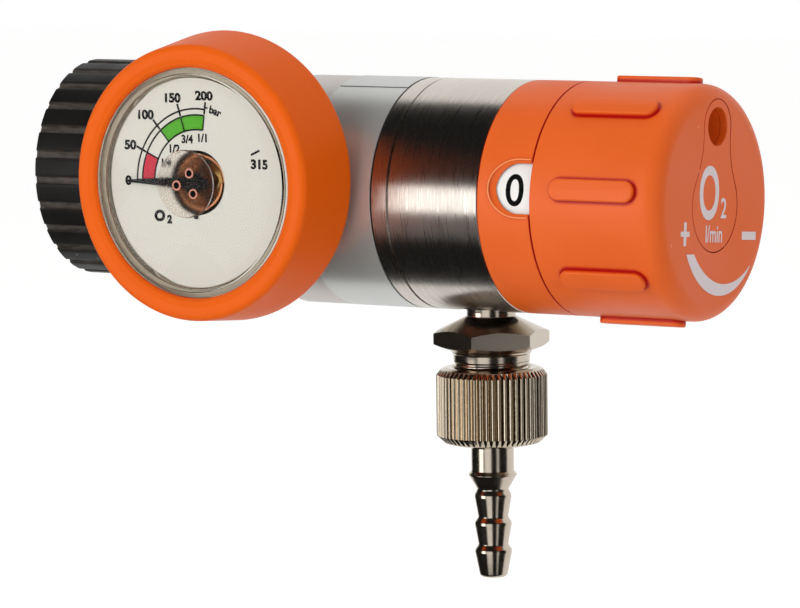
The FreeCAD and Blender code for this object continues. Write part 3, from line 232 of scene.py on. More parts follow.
def linear(red, green, blue):
    """A colour as it is written on a screen, from 0 to 255, as the shader wants it."""
    made = []
    for value in (red, green, blue):
        v = value / 255
        made.append(v / 12.92 if v <= 0.04045 else ((v + 0.055) / 1.055) ** 2.4)
    return (*made, 1.0)


def add(tree, kind, sockets=None, **settings):
    node = tree.nodes.new("ShaderNode" + kind)
    for key, value in settings.items():
        setattr(node, key, value)
    for key, value in (sockets or {}).items():
        socket = node.inputs[key]
        if isinstance(value, bpy.types.NodeSocket):
            tree.links.new(value, socket)
        else:
            socket.default_value = value
    return node


def maths(tree, operation, *values, clamp=False):
    node = add(tree, "Math", operation=operation, use_clamp=clamp)
    for k, value in enumerate(values):
        if isinstance(value, bpy.types.NodeSocket):
            tree.links.new(value, node.inputs[k])
        else:
            node.inputs[k].default_value = value
    return node.outputs[0]


def blend_colours(tree, share, one, two, mode="MIX"):
    node = add(tree, "Mix", data_type="RGBA", blend_type=mode)
    for key, value in ((0, share), (6, one), (7, two)):
        if isinstance(value, bpy.types.NodeSocket):
            tree.links.new(value, node.inputs[key])
        else:
            node.inputs[key].default_value = value
    return node.outputs[2]


KINDS = {"colour": "NodeSocketColor", "number": "NodeSocketFloat", "direction": "NodeSocketVector"}


def shared_group(name, takes, gives):
    """An empty shader group with named sockets; takes maps a name to its kind and value."""
    group = bpy.data.node_groups.new(name, "ShaderNodeTree")
    for label, (kind, value) in takes.items():
        group.interface.new_socket(label, in_out="INPUT", socket_type=KINDS[kind]).default_value = value
    for label, kind in gives.items():
        group.interface.new_socket(label, in_out="OUTPUT", socket_type=KINDS[kind])
    return group, group.nodes.new("NodeGroupInput").outputs, group.nodes.new("NodeGroupOutput").inputs


def place(tree, group, **values):
    node = tree.nodes.new("ShaderNodeGroup")
    node.node_tree = group
    for key, value in values.items():
        socket = node.inputs[key.replace("_", " ")]
        if isinstance(value, bpy.types.NodeSocket):
            tree.links.new(value, socket)
        else:
            socket.default_value = value
    return node.outputs


def mottle_group():
    """Slight cloudiness of a moulded or plated surface, in colour, roughness and height."""
    group, given, out = shared_group(
        "mottle",
        {"Colour": ("colour", (1, 1, 1, 1)), "Depth": ("number", 0.06), "Scale": ("number", 90.0),
         "Roughness": ("number", 0.4), "Grain": ("number", 2500.0)},
        {"Colour": "colour", "Roughness": "number", "Height": "number"})
    here = add(group, "TexCoord").outputs["Object"]
    broad = add(group, "TexNoise", {"Vector": here, "Scale": given["Scale"], "Detail": 5.0})
    fine = add(group, "TexNoise", {"Vector": here, "Scale": given["Grain"], "Detail": 2.0})
    swing = maths(group, "SUBTRACT", broad.outputs["Fac"], 0.5)
    level = maths(group, "MULTIPLY_ADD", swing, maths(group, "MULTIPLY", given["Depth"], 4.0), 1.0)
    grey = add(group, "CombineXYZ", {"X": level, "Y": level, "Z": level})
    group.links.new(blend_colours(group, 1.0, given["Colour"], grey.outputs[0], "MULTIPLY"), out["Colour"])
    rough = maths(group, "MULTIPLY_ADD", swing, 0.35, given["Roughness"])
    rough = maths(group, "MULTIPLY_ADD", fine.outputs["Fac"], 0.08, rough, clamp=True)
    group.links.new(rough, out["Roughness"])
    group.links.new(fine.outputs["Fac"], out["Height"])
    return group


def specks_group():
    """Scattered dust specks and short scuffs of another colour."""
    group, given, out = shared_group(
        "specks",
        {"Colour": ("colour", (1, 1, 1, 1)), "Speck Colour": ("colour", (1, 1, 1, 1)),
         "Scale": ("number", 900.0), "Share": ("number", 0.02), "Strength": ("number", 0.6)},
        {"Colour": "colour"})
    here = add(group, "TexCoord").outputs["Object"]
    cells = add(group, "TexVoronoi", {"Vector": here, "Scale": given["Scale"], "Randomness": 1.0})
    lone = add(group, "SeparateColor", {"Color": cells.outputs["Color"]}).outputs[0]
    chosen = maths(group, "LESS_THAN", lone, given["Share"])
    small = maths(group, "LESS_THAN", cells.outputs["Distance"], 0.24)
    mask = maths(group, "MULTIPLY", maths(group, "MULTIPLY", chosen, small), given["Strength"])
    group.links.new(blend_colours(group, mask, given["Colour"], given["Speck Colour"]), out["Colour"])
    return group


def turning_group():
    """Fine rings left by the lathe round an axis that Stretch is small across."""
    group, given, out = shared_group(
        "turning_marks",
        {"Stretch": ("direction", (1.0, 0.1, 0.1)), "Scale": ("number", 3300.0),
         "Roughness": ("number", 0.3), "Spread": ("number", 0.15)},
        {"Height": "number", "Roughness": "number"})
    here = add(group, "TexCoord").outputs["Object"]
    drawn = add(group, "VectorMath", {0: here, 1: given["Stretch"]}, operation="MULTIPLY").outputs[0]
    lines = add(group, "TexNoise", {"Vector": drawn, "Scale": given["Scale"], "Detail": 3.0, "Roughness": 0.6})
    mark = lines.outputs["Fac"]
    swing = maths(group, "MULTIPLY", maths(group, "SUBTRACT", mark, 0.5), given["Spread"])
    group.links.new(mark, out["Height"])
    group.links.new(maths(group, "ADD", given["Roughness"], swing, clamp=True), out["Roughness"])
    return group


def settled_group():
    """Dirt or dust where the mesh marks a hollow, broken up so that it has no clean edge."""
    group, given, out = shared_group(
        "settled_dust",
        {"Colour": ("colour", (1, 1, 1, 1)), "Dust Colour": ("colour", (1, 1, 1, 1)),
         "Amount": ("number", 0.7), "Scale": ("number", 1400.0)},
        {"Colour": "colour", "Mask": "number"})
    hollow = add(group, "Attribute", attribute_name="hollow").outputs["Fac"]
    here = add(group, "TexCoord").outputs["Object"]
    drawn = add(group, "VectorMath", {0: here, 1: (0.25, 1.0, 1.0)}, operation="MULTIPLY").outputs[0]
    broken = add(group, "TexNoise", {"Vector": drawn, "Scale": given["Scale"], "Detail": 4.0}).outputs["Fac"]
    uneven = maths(group, "MULTIPLY_ADD", broken, 1.6, -0.25, clamp=True)
    mask = maths(group, "MULTIPLY", maths(group, "MULTIPLY", hollow, uneven), given["Amount"], clamp=True)
    group.links.new(blend_colours(group, mask, given["Colour"], given["Dust Colour"]), out["Colour"])
    group.links.new(mask, out["Mask"])
    return group


def crease_shade_group():
    """Paints shade into a moulding's colour where two faces meet closely: an ambient-occlusion mask mixes in a
    deeper crease colour, standing in for the shade and the light that plastic throws on itself there.
    """
    group, given, out = shared_group(
        "crease_shade",
        {"Colour": ("colour", (1, 1, 1, 1)), "Crease Colour": ("colour", (1, 0, 0, 1)),
         "Reach": ("number", 0.001), "Amount": ("number", 2.5)},
        {"Colour": "colour"})
    open_share = add(group, "AmbientOcclusion", {"Distance": given["Reach"]}, samples=8).outputs["AO"]
    closed = maths(group, "SUBTRACT", 1.0, open_share, clamp=True)
    mask = maths(group, "MULTIPLY", closed, given["Amount"], clamp=True)
    group.links.new(blend_colours(group, mask, given["Colour"], given["Crease Colour"]), out["Colour"])
    return group


MOTTLE = mottle_group()
SPECKS = specks_group()
TURNING = turning_group()
SETTLED = settled_group()
CREASE_SHADE = crease_shade_group()


def blank_material(name):
    made = bpy.data.materials.new(name)
    made.use_nodes = True
    tree = made.node_tree
    tree.nodes.clear()
    shader = add(tree, "BsdfPrincipled")
    out = add(tree, "OutputMaterial", {"Surface": shader.outputs[0]})
    return made, tree, shader, out


def bump(tree, shader, height, depth_mm, strength=1.0):
    node = add(tree, "Bump", {"Height": height, "Distance": depth_mm * MM, "Strength": strength})
    tree.links.new(node.outputs[0], shader.inputs["Normal"])


def moulded(name, colour, rough, depth=0.05, grain=2600.0, bump_mm=0.006, scale=90.0, gloss=0.5):
    """Injection-moulded plastic or rubber."""
    made, tree, shader, _ = blank_material(name)
    cloud = place(tree, MOTTLE, Colour=colour, Depth=depth, Scale=scale, Roughness=rough, Grain=grain)
    tree.links.new(cloud["Colour"], shader.inputs["Base Color"])
    tree.links.new(cloud["Roughness"], shader.inputs["Roughness"])
    shader.inputs["Specular IOR Level"].default_value = gloss
    bump(tree, shader, cloud["Height"], bump_mm)
    return made


def machined(name, colour, rough, stretch, scale=3300.0, spread=0.15, bump_mm=0.004, depth=0.04,
             anisotropic=0.0, axis="X"):
    """Turned, drawn or plated metal with the lathe's rings along one axis."""
    made, tree, shader, _ = blank_material(name)
    rings = place(tree, TURNING, Stretch=stretch, Scale=scale, Roughness=rough, Spread=spread)
    cloud = place(tree, MOTTLE, Colour=colour, Depth=depth, Scale=60.0, Roughness=rough)
    tree.links.new(cloud["Colour"], shader.inputs["Base Color"])
    tree.links.new(rings["Roughness"], shader.inputs["Roughness"])
    shader.inputs["Metallic"].default_value = 1.0
    if anisotropic:
        shader.inputs["Anisotropic"].default_value = anisotropic
        shader.inputs["Anisotropic Rotation"].default_value = 0.25
        lie = add(tree, "Tangent", direction_type="RADIAL", axis=axis)
        tree.links.new(lie.outputs[0], shader.inputs["Tangent"])
    bump(tree, shader, rings["Height"], bump_mm)
    return made


# Finishes of this object's pieces

ALONG_BODY = (1.0, 0.07, 0.07)
ALONG_GAUGE = (0.07, 1.0, 0.07)
ALONG_OUTLET = (0.07, 0.07, 1.0)
LONG_BODY_MARKS = (1.0, 0.025, 0.025)
KNURL_MARKS = (1.0, 1.0, 0.3)


def black_grip_plastic():
    made, tree, shader, _ = blank_material("black_grip_plastic")
    cloud = place(tree, MOTTLE, Colour=linear(27, 26, 25), Depth=0.2, Scale=160.0, Roughness=0.42,
                  Grain=1800.0)
    dust = place(tree, SETTLED, Colour=cloud["Colour"], Dust_Colour=linear(112, 104, 95), Amount=0.7)
    spots = place(tree, SPECKS, Colour=dust["Colour"], Speck_Colour=linear(150, 146, 140), Scale=900.0,
                  Share=0.012, Strength=0.35)
    tree.links.new(spots["Colour"], shader.inputs["Base Color"])
    tree.links.new(maths(tree, "MULTIPLY_ADD", dust["Mask"], 0.3, cloud["Roughness"], clamp=True),
                   shader.inputs["Roughness"])
    shader.inputs["Specular IOR Level"].default_value = 0.22
    bump(tree, shader, cloud["Height"], 0.012)
    return made


def orange_plastic(name, colour, crease_shade, rough, gloss, reach, amount, grain_mm):
    """Coloured moulding whose creases are painted redder than its open faces, as painted shade."""
    made, tree, shader, _ = blank_material(name)
    cloud = place(tree, MOTTLE, Colour=colour, Depth=0.03, Scale=60.0, Roughness=rough, Grain=3400.0)
    # Painted shade: the crease colour is mixed in where ambient occlusion finds close faces.
    crease_shaded = place(tree, CREASE_SHADE, Colour=cloud["Colour"], Crease_Colour=crease_shade, Reach=reach * MM, Amount=amount)
    spots = place(tree, SPECKS, Colour=crease_shaded["Colour"], Speck_Colour=linear(250, 176, 120), Scale=700.0,
                  Share=0.006, Strength=0.3)
    tree.links.new(spots["Colour"], shader.inputs["Base Color"])
    tree.links.new(cloud["Roughness"], shader.inputs["Roughness"])
    shader.inputs["Specular IOR Level"].default_value = gloss
    bump(tree, shader, cloud["Height"], grain_mm)
    return made


def clear_plastic(name, rough, tint, grain=None):
    """Clear moulding that lets lamps through, so that what is behind it stays lit."""
    made, tree, shader, out = blank_material(name)
    shader.inputs["Base Color"].default_value = tint
    shader.inputs["Transmission Weight"].default_value = 1.0
    shader.inputs["IOR"].default_value = 1.5
    shader.inputs["Roughness"].default_value = rough
    shader.inputs["Specular Tint"].default_value = linear(60, 60, 60)
    if grain:
        here = add(tree, "TexCoord").outputs["Object"]
        noise = add(tree, "TexNoise", {"Vector": here, "Scale": grain, "Detail": 3.0})
        tree.links.new(maths(tree, "MULTIPLY", noise.outputs["Fac"], rough * 1.6), shader.inputs["Roughness"])
        bump(tree, shader, noise.outputs["Fac"], 0.045)
    path = add(tree, "LightPath").outputs
    through = add(tree, "BsdfTransparent")
    unlit = maths(tree, "MAXIMUM", path["Is Shadow Ray"], path["Is Diffuse Ray"])
    mixed = add(tree, "MixShader", {0: unlit, 1: shader.outputs[0], 2: through.outputs[0]})
    tree.links.new(mixed.outputs[0], out.inputs["Surface"])
    return made


def label_film():
    made, tree, shader, _ = blank_material("silver_label_film")
    cloud = place(tree, MOTTLE, Colour=linear(205, 207, 203), Depth=0.03, Scale=30.0, Roughness=0.3,
                  Grain=900.0)
    tree.links.new(cloud["Colour"], shader.inputs["Base Color"])
    tree.links.new(cloud["Roughness"], shader.inputs["Roughness"])
    shader.inputs["Metallic"].default_value = 0.6
    bump(tree, shader, cloud["Height"], 0.002)
    return made


BLACK_GRIP = black_grip_plastic()
# The second colour of each orange finish is the painted shade of its creases.
ORANGE_KNOB = orange_plastic("orange_knob_plastic", linear(232, 98, 24), linear(186, 10, 2), rough=0.42,
                             gloss=0.38, reach=0.8, amount=4.4, grain_mm=0.02)
ORANGE_RUBBER = orange_plastic("orange_guard_rubber", linear(233, 96, 8), linear(206, 52, 2), rough=0.42,
                               gloss=0.14, reach=0.6, amount=1.0, grain_mm=0.012)
# Pale orange for the bead round the window: a painted highlight.
PAINTED_HIGHLIGHT_BEAD = moulded("orange_bead_painted_highlight", linear(248, 150, 84), 0.3, depth=0.02, bump_mm=0.001)
WHITE_PLASTIC = moulded("white_number_plastic", linear(238, 237, 234), 0.4, depth=0.01)
DIAL_PAINT = moulded("dial_paint", linear(214, 212, 204), 0.6, depth=0.012, grain=4000.0, bump_mm=0.002,
                     gloss=0.2)
LABEL_FILM = label_film()
GATE_RIM_PAINTED_HIGHLIGHT = moulded("gate_rim_painted_highlight", linear(196, 128, 106), 0.25, depth=0.1, bump_mm=0.002)
LAP_EDGE_PAINTED_SHADE = moulded("label_edge_shade", linear(92, 94, 96), 0.5, depth=0.05, bump_mm=0.001)
SEAL_RUBBER = moulded("seal_rubber", linear(26, 26, 27), 0.5, depth=0.1)
SATIN_BODY = machined("satin_reducer_metal", linear(205, 199, 193), 0.42, ALONG_BODY, bump_mm=0.003)
NICKEL_BODY = machined("turned_nickel", linear(210, 202, 193), 0.31, LONG_BODY_MARKS, scale=5200.0,
                       spread=0.35, bump_mm=0.022, anisotropic=0.84)
PLATED_BRASS = machined("plated_outlet_brass", linear(196, 184, 168), 0.2, ALONG_OUTLET, scale=2600.0,
                        spread=0.12, bump_mm=0.006)
WORN_PLATING = machined("worn_plated_knurl", linear(190, 176, 156), 0.09, KNURL_MARKS, scale=4200.0,
                        spread=0.12, bump_mm=0.006, depth=0.1)
BARE_BRASS = machined("bare_union_brass", linear(205, 164, 92), 0.3, ALONG_BODY, scale=2400.0, bump_mm=0.008)
GAUGE_BRASS = machined("gauge_stem_brass", linear(196, 158, 92), 0.32, ALONG_GAUGE, scale=2400.0, bump_mm=0.006)
COPPER_TUBE = machined("copper_gauge_tube", linear(214, 148, 104), 0.3, ALONG_GAUGE, scale=900.0, bump_mm=0.004)
STEEL = machined("machined_steel", linear(196, 195, 192), 0.3, ALONG_BODY, bump_mm=0.004)
CASE_STEEL = machined("gauge_case_steel", linear(196, 186, 170), 0.5, ALONG_GAUGE, bump_mm=0.004)
SPRING_STEEL = machined("spring_wire", linear(150, 150, 150), 0.3, ALONG_GAUGE, bump_mm=0.003)
BRONZE = moulded("sintered_bronze", linear(150, 116, 66), 0.6, depth=0.25, grain=2200.0, bump_mm=0.08,
                 scale=900.0)
CLEAR_LENS = clear_plastic("clear_gauge_lens", 0.0, linear(252, 251, 247))
FROSTED_GATE = clear_plastic("frosted_lens_middle", 0.3, linear(240, 226, 214), grain=3000.0)
PRINT_BLACK = moulded("print_black", linear(12, 12, 13), 0.6, depth=0.05, bump_mm=0.001, gloss=0.1)
PRINT_RED = moulded("print_red", linear(198, 38, 60), 0.6, depth=0.03, bump_mm=0.001, gloss=0.2)
PRINT_GREEN = moulded("print_green", linear(76, 166, 30), 0.6, depth=0.03, bump_mm=0.001, gloss=0.2)
PRINT_PALE = moulded("print_pale", linear(226, 212, 214), 0.45, depth=0.03, bump_mm=0.001)

CAD_FINISH = {
    "union_nut": BARE_BRASS, "union_clip": STEEL, "inlet_connector": BARE_BRASS, "inlet_seal": SEAL_RUBBER,
    "inlet_filter": BRONZE, "inlet_body": SATIN_BODY,
    "gauge_socket": GAUGE_BRASS, "gauge_case": CASE_STEEL, "pointer_post": GAUGE_BRASS,
    "piston": BARE_BRASS, "piston_seat_pad": WHITE_PLASTIC, "piston_head_seal": SEAL_RUBBER,
    "piston_stem_seal": SEAL_RUBBER, "main_spring": SPRING_STEEL,
    "outlet_body": NICKEL_BODY, "flow_seal": SEAL_RUBBER, "flow_disc": STEEL, "selector_bearing": BARE_BRASS,
    "shaft_seal": SEAL_RUBBER, "selector_shaft": STEEL, "index_ball": STEEL, "index_spring": SPRING_STEEL,
    "number_ring": WHITE_PLASTIC, "knob_screw": STEEL,
    "outlet_washer": SEAL_RUBBER, "tail_seal": SEAL_RUBBER,
    "relief_cap": PLATED_BRASS, "relief_poppet": BARE_BRASS, "relief_spring": SPRING_STEEL}


def dress_cad_nodes():
    for name, finish in CAD_FINISH.items():
        mesh = nodes[name].data
        mesh.materials.clear()
        mesh.materials.append(finish)
        for polygon in mesh.polygons:
            polygon.material_index = 0


# Handwheel

def handwheel():
    """The moulding with its 26 grooves; floor and mouth are half the widths of a groove."""
    ribs, steps_per_rib = 26, 26
    pitch = 2 * math.pi * WHEEL_R / ribs
    first = math.radians(-3.6)
    floor, mouth, depth = 0.62, 0.85, 0.7
    dust_half, dust_fade, dust_depth = 0.72, 0.12, 1.6

    def groove(distance):
        share = min(max((distance - floor) / (mouth - floor), 0.0), 1.0)
        crown = 0.05 * max(0.0, 1 - max(0.0, distance - mouth) / 0.5) ** 2
        return max(depth * (1 + math.cos(math.pi * share)) / 2, crown * share)

    def from_groove(angle):
        return abs(math.remainder((angle - first) * WHEEL_R, pitch))

    def carve(_, radius, angle):
        return min(radius, WHEEL_R - groove(from_groove(angle)))

    bore, shaft_hole = 15.55, 9.9
    back = 16.0
    profile = [
        (WHEEL_START, bore + 0.8, 0.2), (WHEEL_START + 0.8, bore), (back, bore), (back, shaft_hole),
        (WHEEL_END, shaft_hole, 0.3), (WHEEL_END, WHEEL_R, 0.6), (WHEEL_START + 0.9, WHEEL_R),
        (WHEEL_START + 0.35, WHEEL_R), (WHEEL_START, WHEEL_R - 0.35)]
    bm = turned(profile, INLET_AXIS, steps=ribs * steps_per_rib, carve=carve)
    layer = bm.verts.layers.float.new("hollow")
    for vert in bm.verts:
        radius = math.hypot(vert.co.y, vert.co.z)
        angle = math.atan2(vert.co.z, -vert.co.y)
        near = 1 - min(max((from_groove(angle) - dust_half) / dust_fade, 0.0), 1.0)
        vert[layer] = near if radius > WHEEL_R - dust_depth else 0.0
    return piece("handwheel_moulding", bm, BLACK_GRIP, "union", "handwheel")


# Contents gauge

def off_gauge_axis(point):
    return math.hypot(point.x - GAUGE_X, point.z - GAUGE_Z)


def gauge_guard():
    """The rubber ring, whose outside leans up a little towards the rear."""
    rear, front = (-y for y in reversed(span("gauge_guard", 1)))
    case_r, lip_r, step = 23.05, 21.35, 35.15
    profile = [
        (rear, 21.0, 0.2), (rear + 0.45, 21.0, 0.1), (rear + 0.45, case_r), (step, case_r), (step, lip_r),
        (35.9, lip_r, 0.15), (front - 0.35, 21.9, 0.4), (front, 23.0, 0.6), (front, 25.5, 1.5),
        (rear, 27.25, 1.2)]
    bm = turned(profile, GAUGE_AXIS, steps=240, fineness=8)
    outside_r, lift_at_rear = 24.0, 0.62
    for vert in bm.verts:
        if off_gauge_axis(vert.co) > outside_r:
            vert.co.z += lift_at_rear * (front + vert.co.y) / (front - rear)
    return piece("gauge_guard_ring", bm, ORANGE_RUBBER, "regulator", "gauge_guard")


DIAL_R = 19.2
DIAL_SHIFT = 0.4


def lens():
    """The clear window, with a frosted raised middle that holds three moulding gates."""
    step, rim_r, boss_r = 35.1, 21.7, 6.2
    profile = [
        (33.45, rim_r), (33.45, DIAL_R + 0.4, 0.1), (34.7, DIAL_R + 0.2, 0.3), (35.2, DIAL_R - 2.0, 1.5),
        (36.5, 6.4), (36.5, boss_r), (36.5, 0), (38.0, 0), (38.0, 5.9), (37.95, boss_r, 0.1), (37.8, 6.3),
        (36.9, 18.6, 3.0), (36.5, 20.1, 0.2), (36.2, 20.3, 0.1), (36.2, 21.1, 0.15), (step, 21.1),
        (step, rim_r)]
    bm = bmesh.new()
    revolve(bm, rounded(profile, 5), GAUGE_AXIS, 200, closed=True)
    bmesh.ops.remove_doubles(bm, verts=bm.verts, dist=1e-5)
    for face in bm.faces:
        centre = face.calc_center_median()
        face.material_index = 1 if off_gauge_axis(centre) < boss_r and -centre.y > 37.0 else 0
    piece("gauge_lens_moulding", bm, [CLEAR_LENS, FROSTED_GATE], "regulator", "gauge_lens")
    rims, pits = bmesh.new(), bmesh.new()
    for x, z in ((0.97, 2.0), (-1.9, -0.33), (1.8, -1.77)):
        spot = (Vector((GAUGE_X + x, 0, GAUGE_Z + z)), -Y, X, Z)
        rim = rounded([(37.9, 0.6), (38.05, 0.62, 0.04), (38.05, 0.92, 0.04), (37.9, 0.96)], 2)
        revolve(rims, rim, spot, 40)
        revolve(pits, [(37.95, 0), (37.95, 0.63), (38.02, 0.63), (38.02, 0)], spot, 32, closed=False)
    # The rims are coloured pale and opaque as a painted highlight on the clear gate edges.
    piece("lens_gate_rims_painted_highlight", rims, GATE_RIM_PAINTED_HIGHLIGHT, "regulator")
    # The pits are black discs: painted shade where the dark inside of the gauge shows through the gates.
    piece("lens_gate_pits_painted_shade", pits, PRINT_BLACK, "regulator")


def gauge_dial():
    """The printed plate; its middle hole sits a little off the gauge's axis."""
    back, face, hole_r, edge = 33.4, 33.85, 6.0, 0.05
    profile = [(back, hole_r, edge), (face, hole_r, edge), (face, DIAL_R, edge), (back, DIAL_R, edge)]
    bm = turned(profile, GAUGE_AXIS, steps=180, fineness=3)
    for vert in bm.verts:
        if off_gauge_axis(vert.co) < hole_r + 2.0:
            vert.co.x += DIAL_SHIFT
    return piece("gauge_dial_plate", bm, DIAL_PAINT, "regulator", "gauge_dial")


def gauge_pointer():
    """The blade with its hub and spindle."""
    level, thick = 34.6, 0.4
    tip_r, spindle_r, spindle_end = 14.95, 0.55, 26.4
    bm = bmesh.new()
    shape = [(-tip_r, 0.12), (-tip_r + 0.2, 0.2), (0, 1.25), (3.2, 0.9), (3.2, -0.9), (0, -1.25),
             (-tip_r + 0.2, -0.2), (-tip_r, -0.12)]
    prism(bm, [Vector((GAUGE_X + x, -level, GAUGE_Z + z)) for x, z in shape], Vector((0, -thick, 0)))
    hub = [(spindle_end, 0), (spindle_end, spindle_r), (level - 0.4, spindle_r), (level - 0.4, 2.0, 0.1),
           (level + 0.9, 1.9, 0.2), (level + 0.9, 0)]
    revolve(bm, rounded(hub, 3), GAUGE_AXIS, 48, closed=False)
    return piece("gauge_pointer_blade", bm, PRINT_BLACK, "pointer", "gauge_pointer")


def gauge_coil():
    turns, steps, radius, wire = 6, 48, 5.0, 0.44
    start, end = 26.75, 32.5
    path = []
    for k in range(turns * steps + 1):
        a = 2 * math.pi * k / steps
        out = start + (end - start) * k / (turns * steps)
        path.append(Vector((GAUGE_X + radius * math.cos(a), -out, GAUGE_Z + radius * math.sin(a))))
    bm = bmesh.new()
    swept(bm, path, wire, 14)
    return piece("bourdon_coil", bm, COPPER_TUBE, "regulator", "bourdon_tube")


# Printed marks

def lettering(text, weight=0.0):
    """Flat mesh of a few characters, one high and centred on the origin."""
    curve = bpy.data.curves.new("characters", "FONT")
    curve.body = text
    curve.offset = weight
    curve.extrude = 0.01
    curve.resolution_u = 6
    made = bpy.data.objects.new("characters", curve)
    bpy.context.scene.collection.objects.link(made)
    graph = bpy.context.evaluated_depsgraph_get()
    bm = bmesh.new()
    bm.from_mesh(made.evaluated_get(graph).to_mesh())
    bpy.data.objects.remove(made)
    bmesh.ops.remove_doubles(bm, verts=bm.verts, dist=1e-5)
    xs = [v.co.x for v in bm.verts]
    ys = [v.co.y for v in bm.verts]
    tall = max(ys) - min(ys)
    centre = Vector(((max(xs) + min(xs)) / 2, (max(ys) + min(ys)) / 2, 0))
    for vert in bm.verts:
        vert.co = (vert.co - centre) / tall
    return bm


def pour(bm, target):
    """Moves all mesh work of bm into target."""
    mesh = bpy.data.meshes.new("characters")
    bm.to_mesh(mesh)
    bm.free()
    target.from_mesh(mesh)
    bpy.data.meshes.remove(mesh)


def stamp(target, text, height, settle, width=1.0, weight=0.02):
    """Adds characters to target; settle turns (right, up, lift) in millimetres into a point."""
    bm = lettering(text, weight)
    for vert in bm.verts:
        lift = 1.0 if vert.co.z > 0 else 0.0
        vert.co = settle(vert.co.x * height * width, vert.co.y * height, lift)
    pour(bm, target)


# Prints are 0.02 thick, and what is over the coloured bands starts a share of that higher.
PRINT_LIFT = 0.02
OVER_BANDS = 0.3
OFF_FACE = 0.004
DIAL_PRINT_RISE = Vector((0, -PRINT_LIFT, 0))
KNOB_PRINT_RISE = Vector((PRINT_LIFT, 0, 0))
DIAL_FACE = -span("gauge_dial", 1)[0]


def on_dial(x, z, lift=0.0):
    """A point of the dial's face, from the middle of its scale."""
    return Vector((GAUGE_X + DIAL_SHIFT + x, -DIAL_FACE - OFF_FACE - lift * PRINT_LIFT, GAUGE_Z + 0.1 + z))


def dial_angle(bar):
    """Angle on the dial, in degrees from the right and counter-clockwise, of a pressure in bar."""
    return 179.6 - 0.4875 * bar


def dial_arc(bm, inner, outer, angles, lift, material_index):
    far = [on_dial(outer * math.cos(a), outer * math.sin(a), lift) for a in angles]
    near = [on_dial(inner * math.cos(a), inner * math.sin(a), lift) for a in reversed(angles)]
    prism(bm, far + near, DIAL_PRINT_RISE, material_index)


def dial_band(bm, inner, outer, start, end, material_index):
    count = max(2, int(abs(end - start) / 2.5))
    angles = [math.radians(start + (end - start) * k / count) for k in range(count + 1)]
    dial_arc(bm, inner, outer, angles, 0.0, material_index)


def dial_line(bm, angle, inner, outer, width):
    a = math.radians(angle)
    way = Vector((math.cos(a), math.sin(a)))
    side = Vector((-way.y, way.x)) * width / 2
    corners = [way * inner + side, way * outer + side, way * outer - side, way * inner - side]
    prism(bm, [on_dial(c.x, c.y, OVER_BANDS) for c in corners], DIAL_PRINT_RISE)


def at_dial(x, z):
    """Where stamp puts characters centred on a point of the dial."""
    return lambda u, v, w: on_dial(x + u, z + v, w + OVER_BANDS)


def dial_print():
    bm = bmesh.new()
    line, tick = 0.34, 0.42
    band_in, band_out, scale_r = 9.75, 12.45, 13.6
    full = 200
    dial_band(bm, band_in, band_out, dial_angle(0), dial_angle(50), 1)
    dial_band(bm, band_in, band_out, dial_angle(100), dial_angle(full), 2)
    count = 42
    sweep = [math.radians(dial_angle(full * k / count)) for k in range(count + 1)]
    for radius in (band_in, band_out, scale_r):
        dial_arc(bm, radius - line / 2, radius + line / 2, sweep, OVER_BANDS, 0)
    for bar in (0, 50, 100, 150, full):
        dial_line(bm, dial_angle(bar), band_in, band_out, line)
    for bar in (50, 100, 150, full):
        dial_line(bm, dial_angle(bar), 12.7, 15.0, tick)
    dial_line(bm, dial_angle(0), 12.9, scale_r, line)
    dash = ((1.75, 13.72), (2.6, 13.62), (2.6, 13.92), (1.75, 14.02))
    prism(bm, [on_dial(x, z, OVER_BANDS) for x, z in dash], DIAL_PRINT_RISE)
    dial_line(bm, dial_angle(315) - 2.0, 13.2, 15.3, tick)
    numerals = [("0", -15.6, -0.1), ("50", -15.0, 6.55), ("100", -11.35, 12.25), ("150", -5.2, 15.5),
                ("200", 1.8, 16.05), ("315", 13.9, 3.7)]
    for text, x, z in numerals:
        stamp(bm, text, 1.85, at_dial(x, z), 1.12, 0.05)
    for text, x, z in (("1/4", -6.95, 3.4), ("1/2", -5.1, 6.1), ("3/4", -2.2, 7.95), ("1/1", 1.25, 8.25)):
        stamp(bm, text, 1.6, at_dial(x, z), 1.0, 0.042)
    stamp(bm, "O", 2.2, at_dial(-8.7, -6.5), 1.05, 0.065)
    stamp(bm, "2", 1.65, at_dial(-6.5, -7.1), 1.0, 0.065)
    unit_r = 13.9

    def round_dial(u, v, w):
        a = math.radians(72.0) - u / unit_r
        return on_dial((unit_r + v) * math.cos(a), (unit_r + v) * math.sin(a), w + OVER_BANDS)

    stamp(bm, "bar", 1.5, round_dial, 1.05, 0.04)
    return piece("dial_printing", bm, [PRINT_BLACK, PRINT_RED, PRINT_GREEN], "regulator", sharp=60)


def stop_pin():
    radius, top = 0.38, DIAL_FACE + 0.5
    pin = (Vector((GAUGE_X + 0.05, 0, GAUGE_Z - 6.4)), -Y, X, Z)
    bm = bmesh.new()
    outline = rounded([(DIAL_FACE, 0), (DIAL_FACE, radius), (top, radius, 0.1), (top, 0)], 3)
    revolve(bm, outline, pin, 24, closed=False)
    return piece("pointer_stop_pin", bm, PRINT_BLACK, "regulator")


# Selector head

FLOWS = ("0", "0.5", "1", "2", "3", "4", "5", "6", "8", "10", "12", "15")


